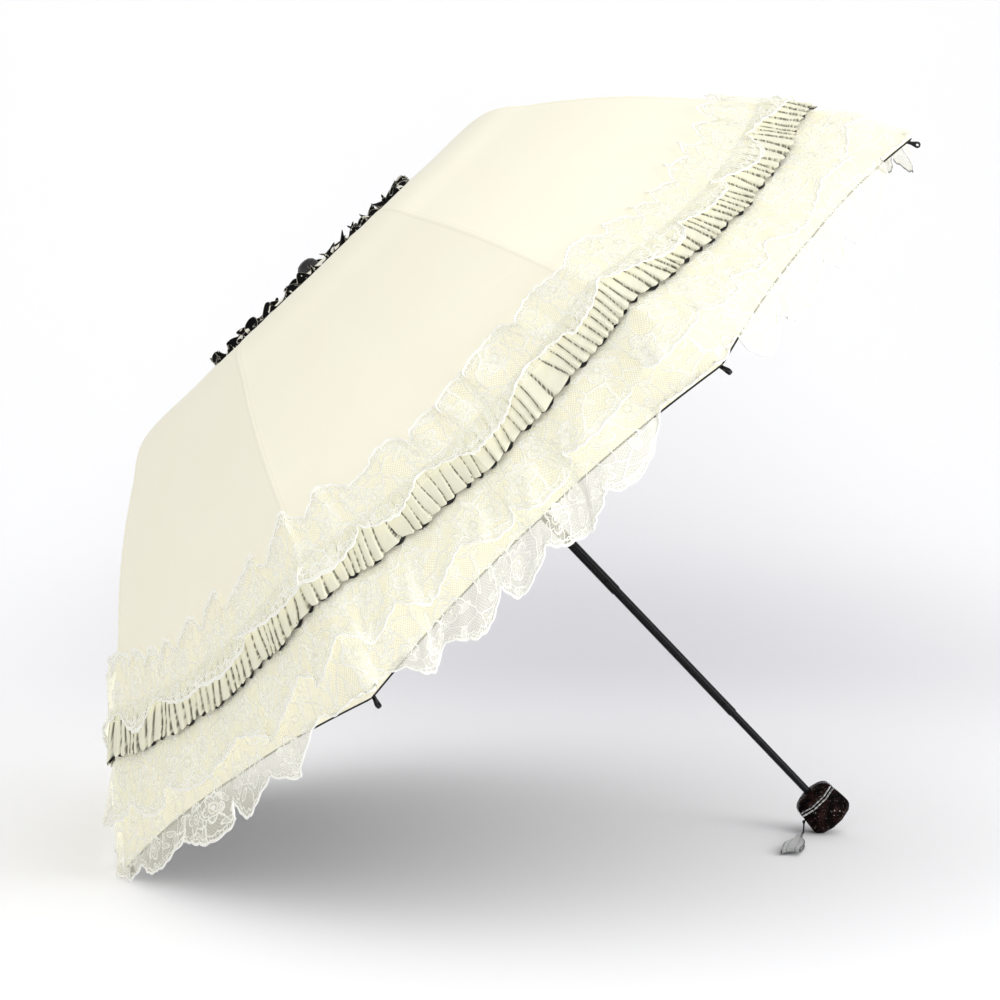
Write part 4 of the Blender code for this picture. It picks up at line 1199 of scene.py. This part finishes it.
def studio_paper():
    """White paper with painted shade: it falls off to a soft grey some way behind the parasol."""
    paint = Paint("studio_paper")
    x, y = paint.split(paint.object_place(1.0))
    across = paint.math("DIVIDE", paint.math("SUBTRACT", x, PAPER_SHADE_PLACE[0]), PAPER_SHADE_ACROSS)
    behind = paint.math("SUBTRACT", y, PAPER_SHADE_PLACE[1])
    back = paint.math("DIVIDE", behind, PAPER_SHADE_BACK)
    front = paint.math("DIVIDE", behind, -PAPER_SHADE_FRONT)
    squares = [paint.times(v, v) for v in (across, paint.largest(back, front))]
    distance = paint.math("SQRT", paint.math("ADD", *squares))
    # Painted shade: grey round a place behind the parasol, white elsewhere.
    paper = paint.blend(paint.step(distance, 0.0, 1.0), PAPER_WHITE, PAPER_PAINTED_SHADE)
    paint.set(Base_Color=paper, Roughness=0.9, Specular_IOR_Level=0.1)
    return paint.material


def add_stage():
    """A pale floor that curves up into the backdrop."""
    line = [(-6.0, 0.0), (-2.0, 0.0), (2.2, 0.0)]
    for i in range(1, 13):
        a = i * math.pi / 24
        line.append((2.2 + 2.0 * math.sin(a), 2.0 - 2.0 * math.cos(a)))
    line.append((4.2, 6.0))
    points, faces = [], []
    for y, z in line:
        points += [(-8.0, y, z), (8.0, y, z)]
    for i in range(len(line) - 1):
        faces.append((2 * i, 2 * i + 1, 2 * i + 3, 2 * i + 2))
    mesh = bpy.data.meshes.new("backdrop")
    mesh.from_pydata(points, [], faces)
    mesh.materials.append(studio_paper())
    mesh.shade_smooth()
    show("backdrop", mesh)


def add_softbox(name, place, target, size, power):
    light = bpy.data.lights.new(name, "AREA")
    light.shape = "SQUARE"
    light.size = size
    light.energy = power
    lamp = show(name, light)
    lamp.location = place
    aim = Vector(target) - Vector(place)
    lamp.rotation_euler = aim.to_track_quat("-Z", "Y").to_euler()


def add_sky():
    """A white sky, a little darker from the left and much darker in reflections."""
    world = bpy.data.worlds.new("studio")
    bpy.context.scene.world = world
    world.use_nodes = True
    sky = Nodes(world.node_tree)
    background = sky.tree.nodes["Background"]
    glossy = sky.add("LightPath").outputs["Is Glossy Ray"]
    dimmed = sky.add("MapRange", {0: glossy, 3: SKY_STRENGTH, 4: SKY_IN_REFLECTIONS}).outputs[0]
    sideways = sky.split(sky.add("TexCoord").outputs["Generated"])[0]
    side = sky.add("MapRange", {0: sideways, 1: -1.0, 2: 0.3, 3: SKY_LEFT_SHARE, 4: 1.0}).outputs[0]
    sky.put(background.inputs[0], (1.0, 1.0, 1.0))
    sky.put(background.inputs[1], sky.math("MULTIPLY", dimmed, side))


def add_camera():
    data = bpy.data.cameras.new("camera")
    data.lens = CAMERA_LENS
    data.clip_end = 50.0
    camera = show("camera", data)
    camera.location = CAMERA_PLACE
    camera.rotation_euler = (math.pi / 2 + CAMERA_TILT, 0.0, -CAMERA_PAN)
    bpy.context.scene.camera = camera
    bpy.context.scene.view_settings.view_transform = "Standard"


def main():
    cream, lining = canopy_cloth(), lining_cloth()
    white_cord = thread("white_cord", (0.985, 0.98, 0.93), 0.8)
    plated = plated_steel()
    steel = lacquered_steel("rib_lacquer", (0.012, 0.012, 0.013), (0.16, 0.16, 0.17), 0.30)
    tube = lacquered_steel("shaft_lacquer", (0.007, 0.007, 0.008), (0.08, 0.08, 0.09), 0.13)
    lace = lace_cloth()
    dress_frame(steel, tube, nylon(), plated)
    add_canopy(cream, lining, thread("black_hem_cord", (0.015, 0.015, 0.016)))
    add_ruffle(ruffle_cloth())
    add_ribbon(ribbon_cloth(), lining)
    add_upper_lace(lace, white_cord)
    add_lower_lace(lace, white_cord)
    add_short_lace(lace, white_cord)
    add_handle(marbled_resin(), plated)
    add_cord(thread("black_cord", (0.012, 0.012, 0.012), 0.7), plated)
    add_tag(silver_satin())
    add_stage()
    add_sky()
    for softbox in SOFTBOXES:
        add_softbox(*softbox)
    add_camera()


main()
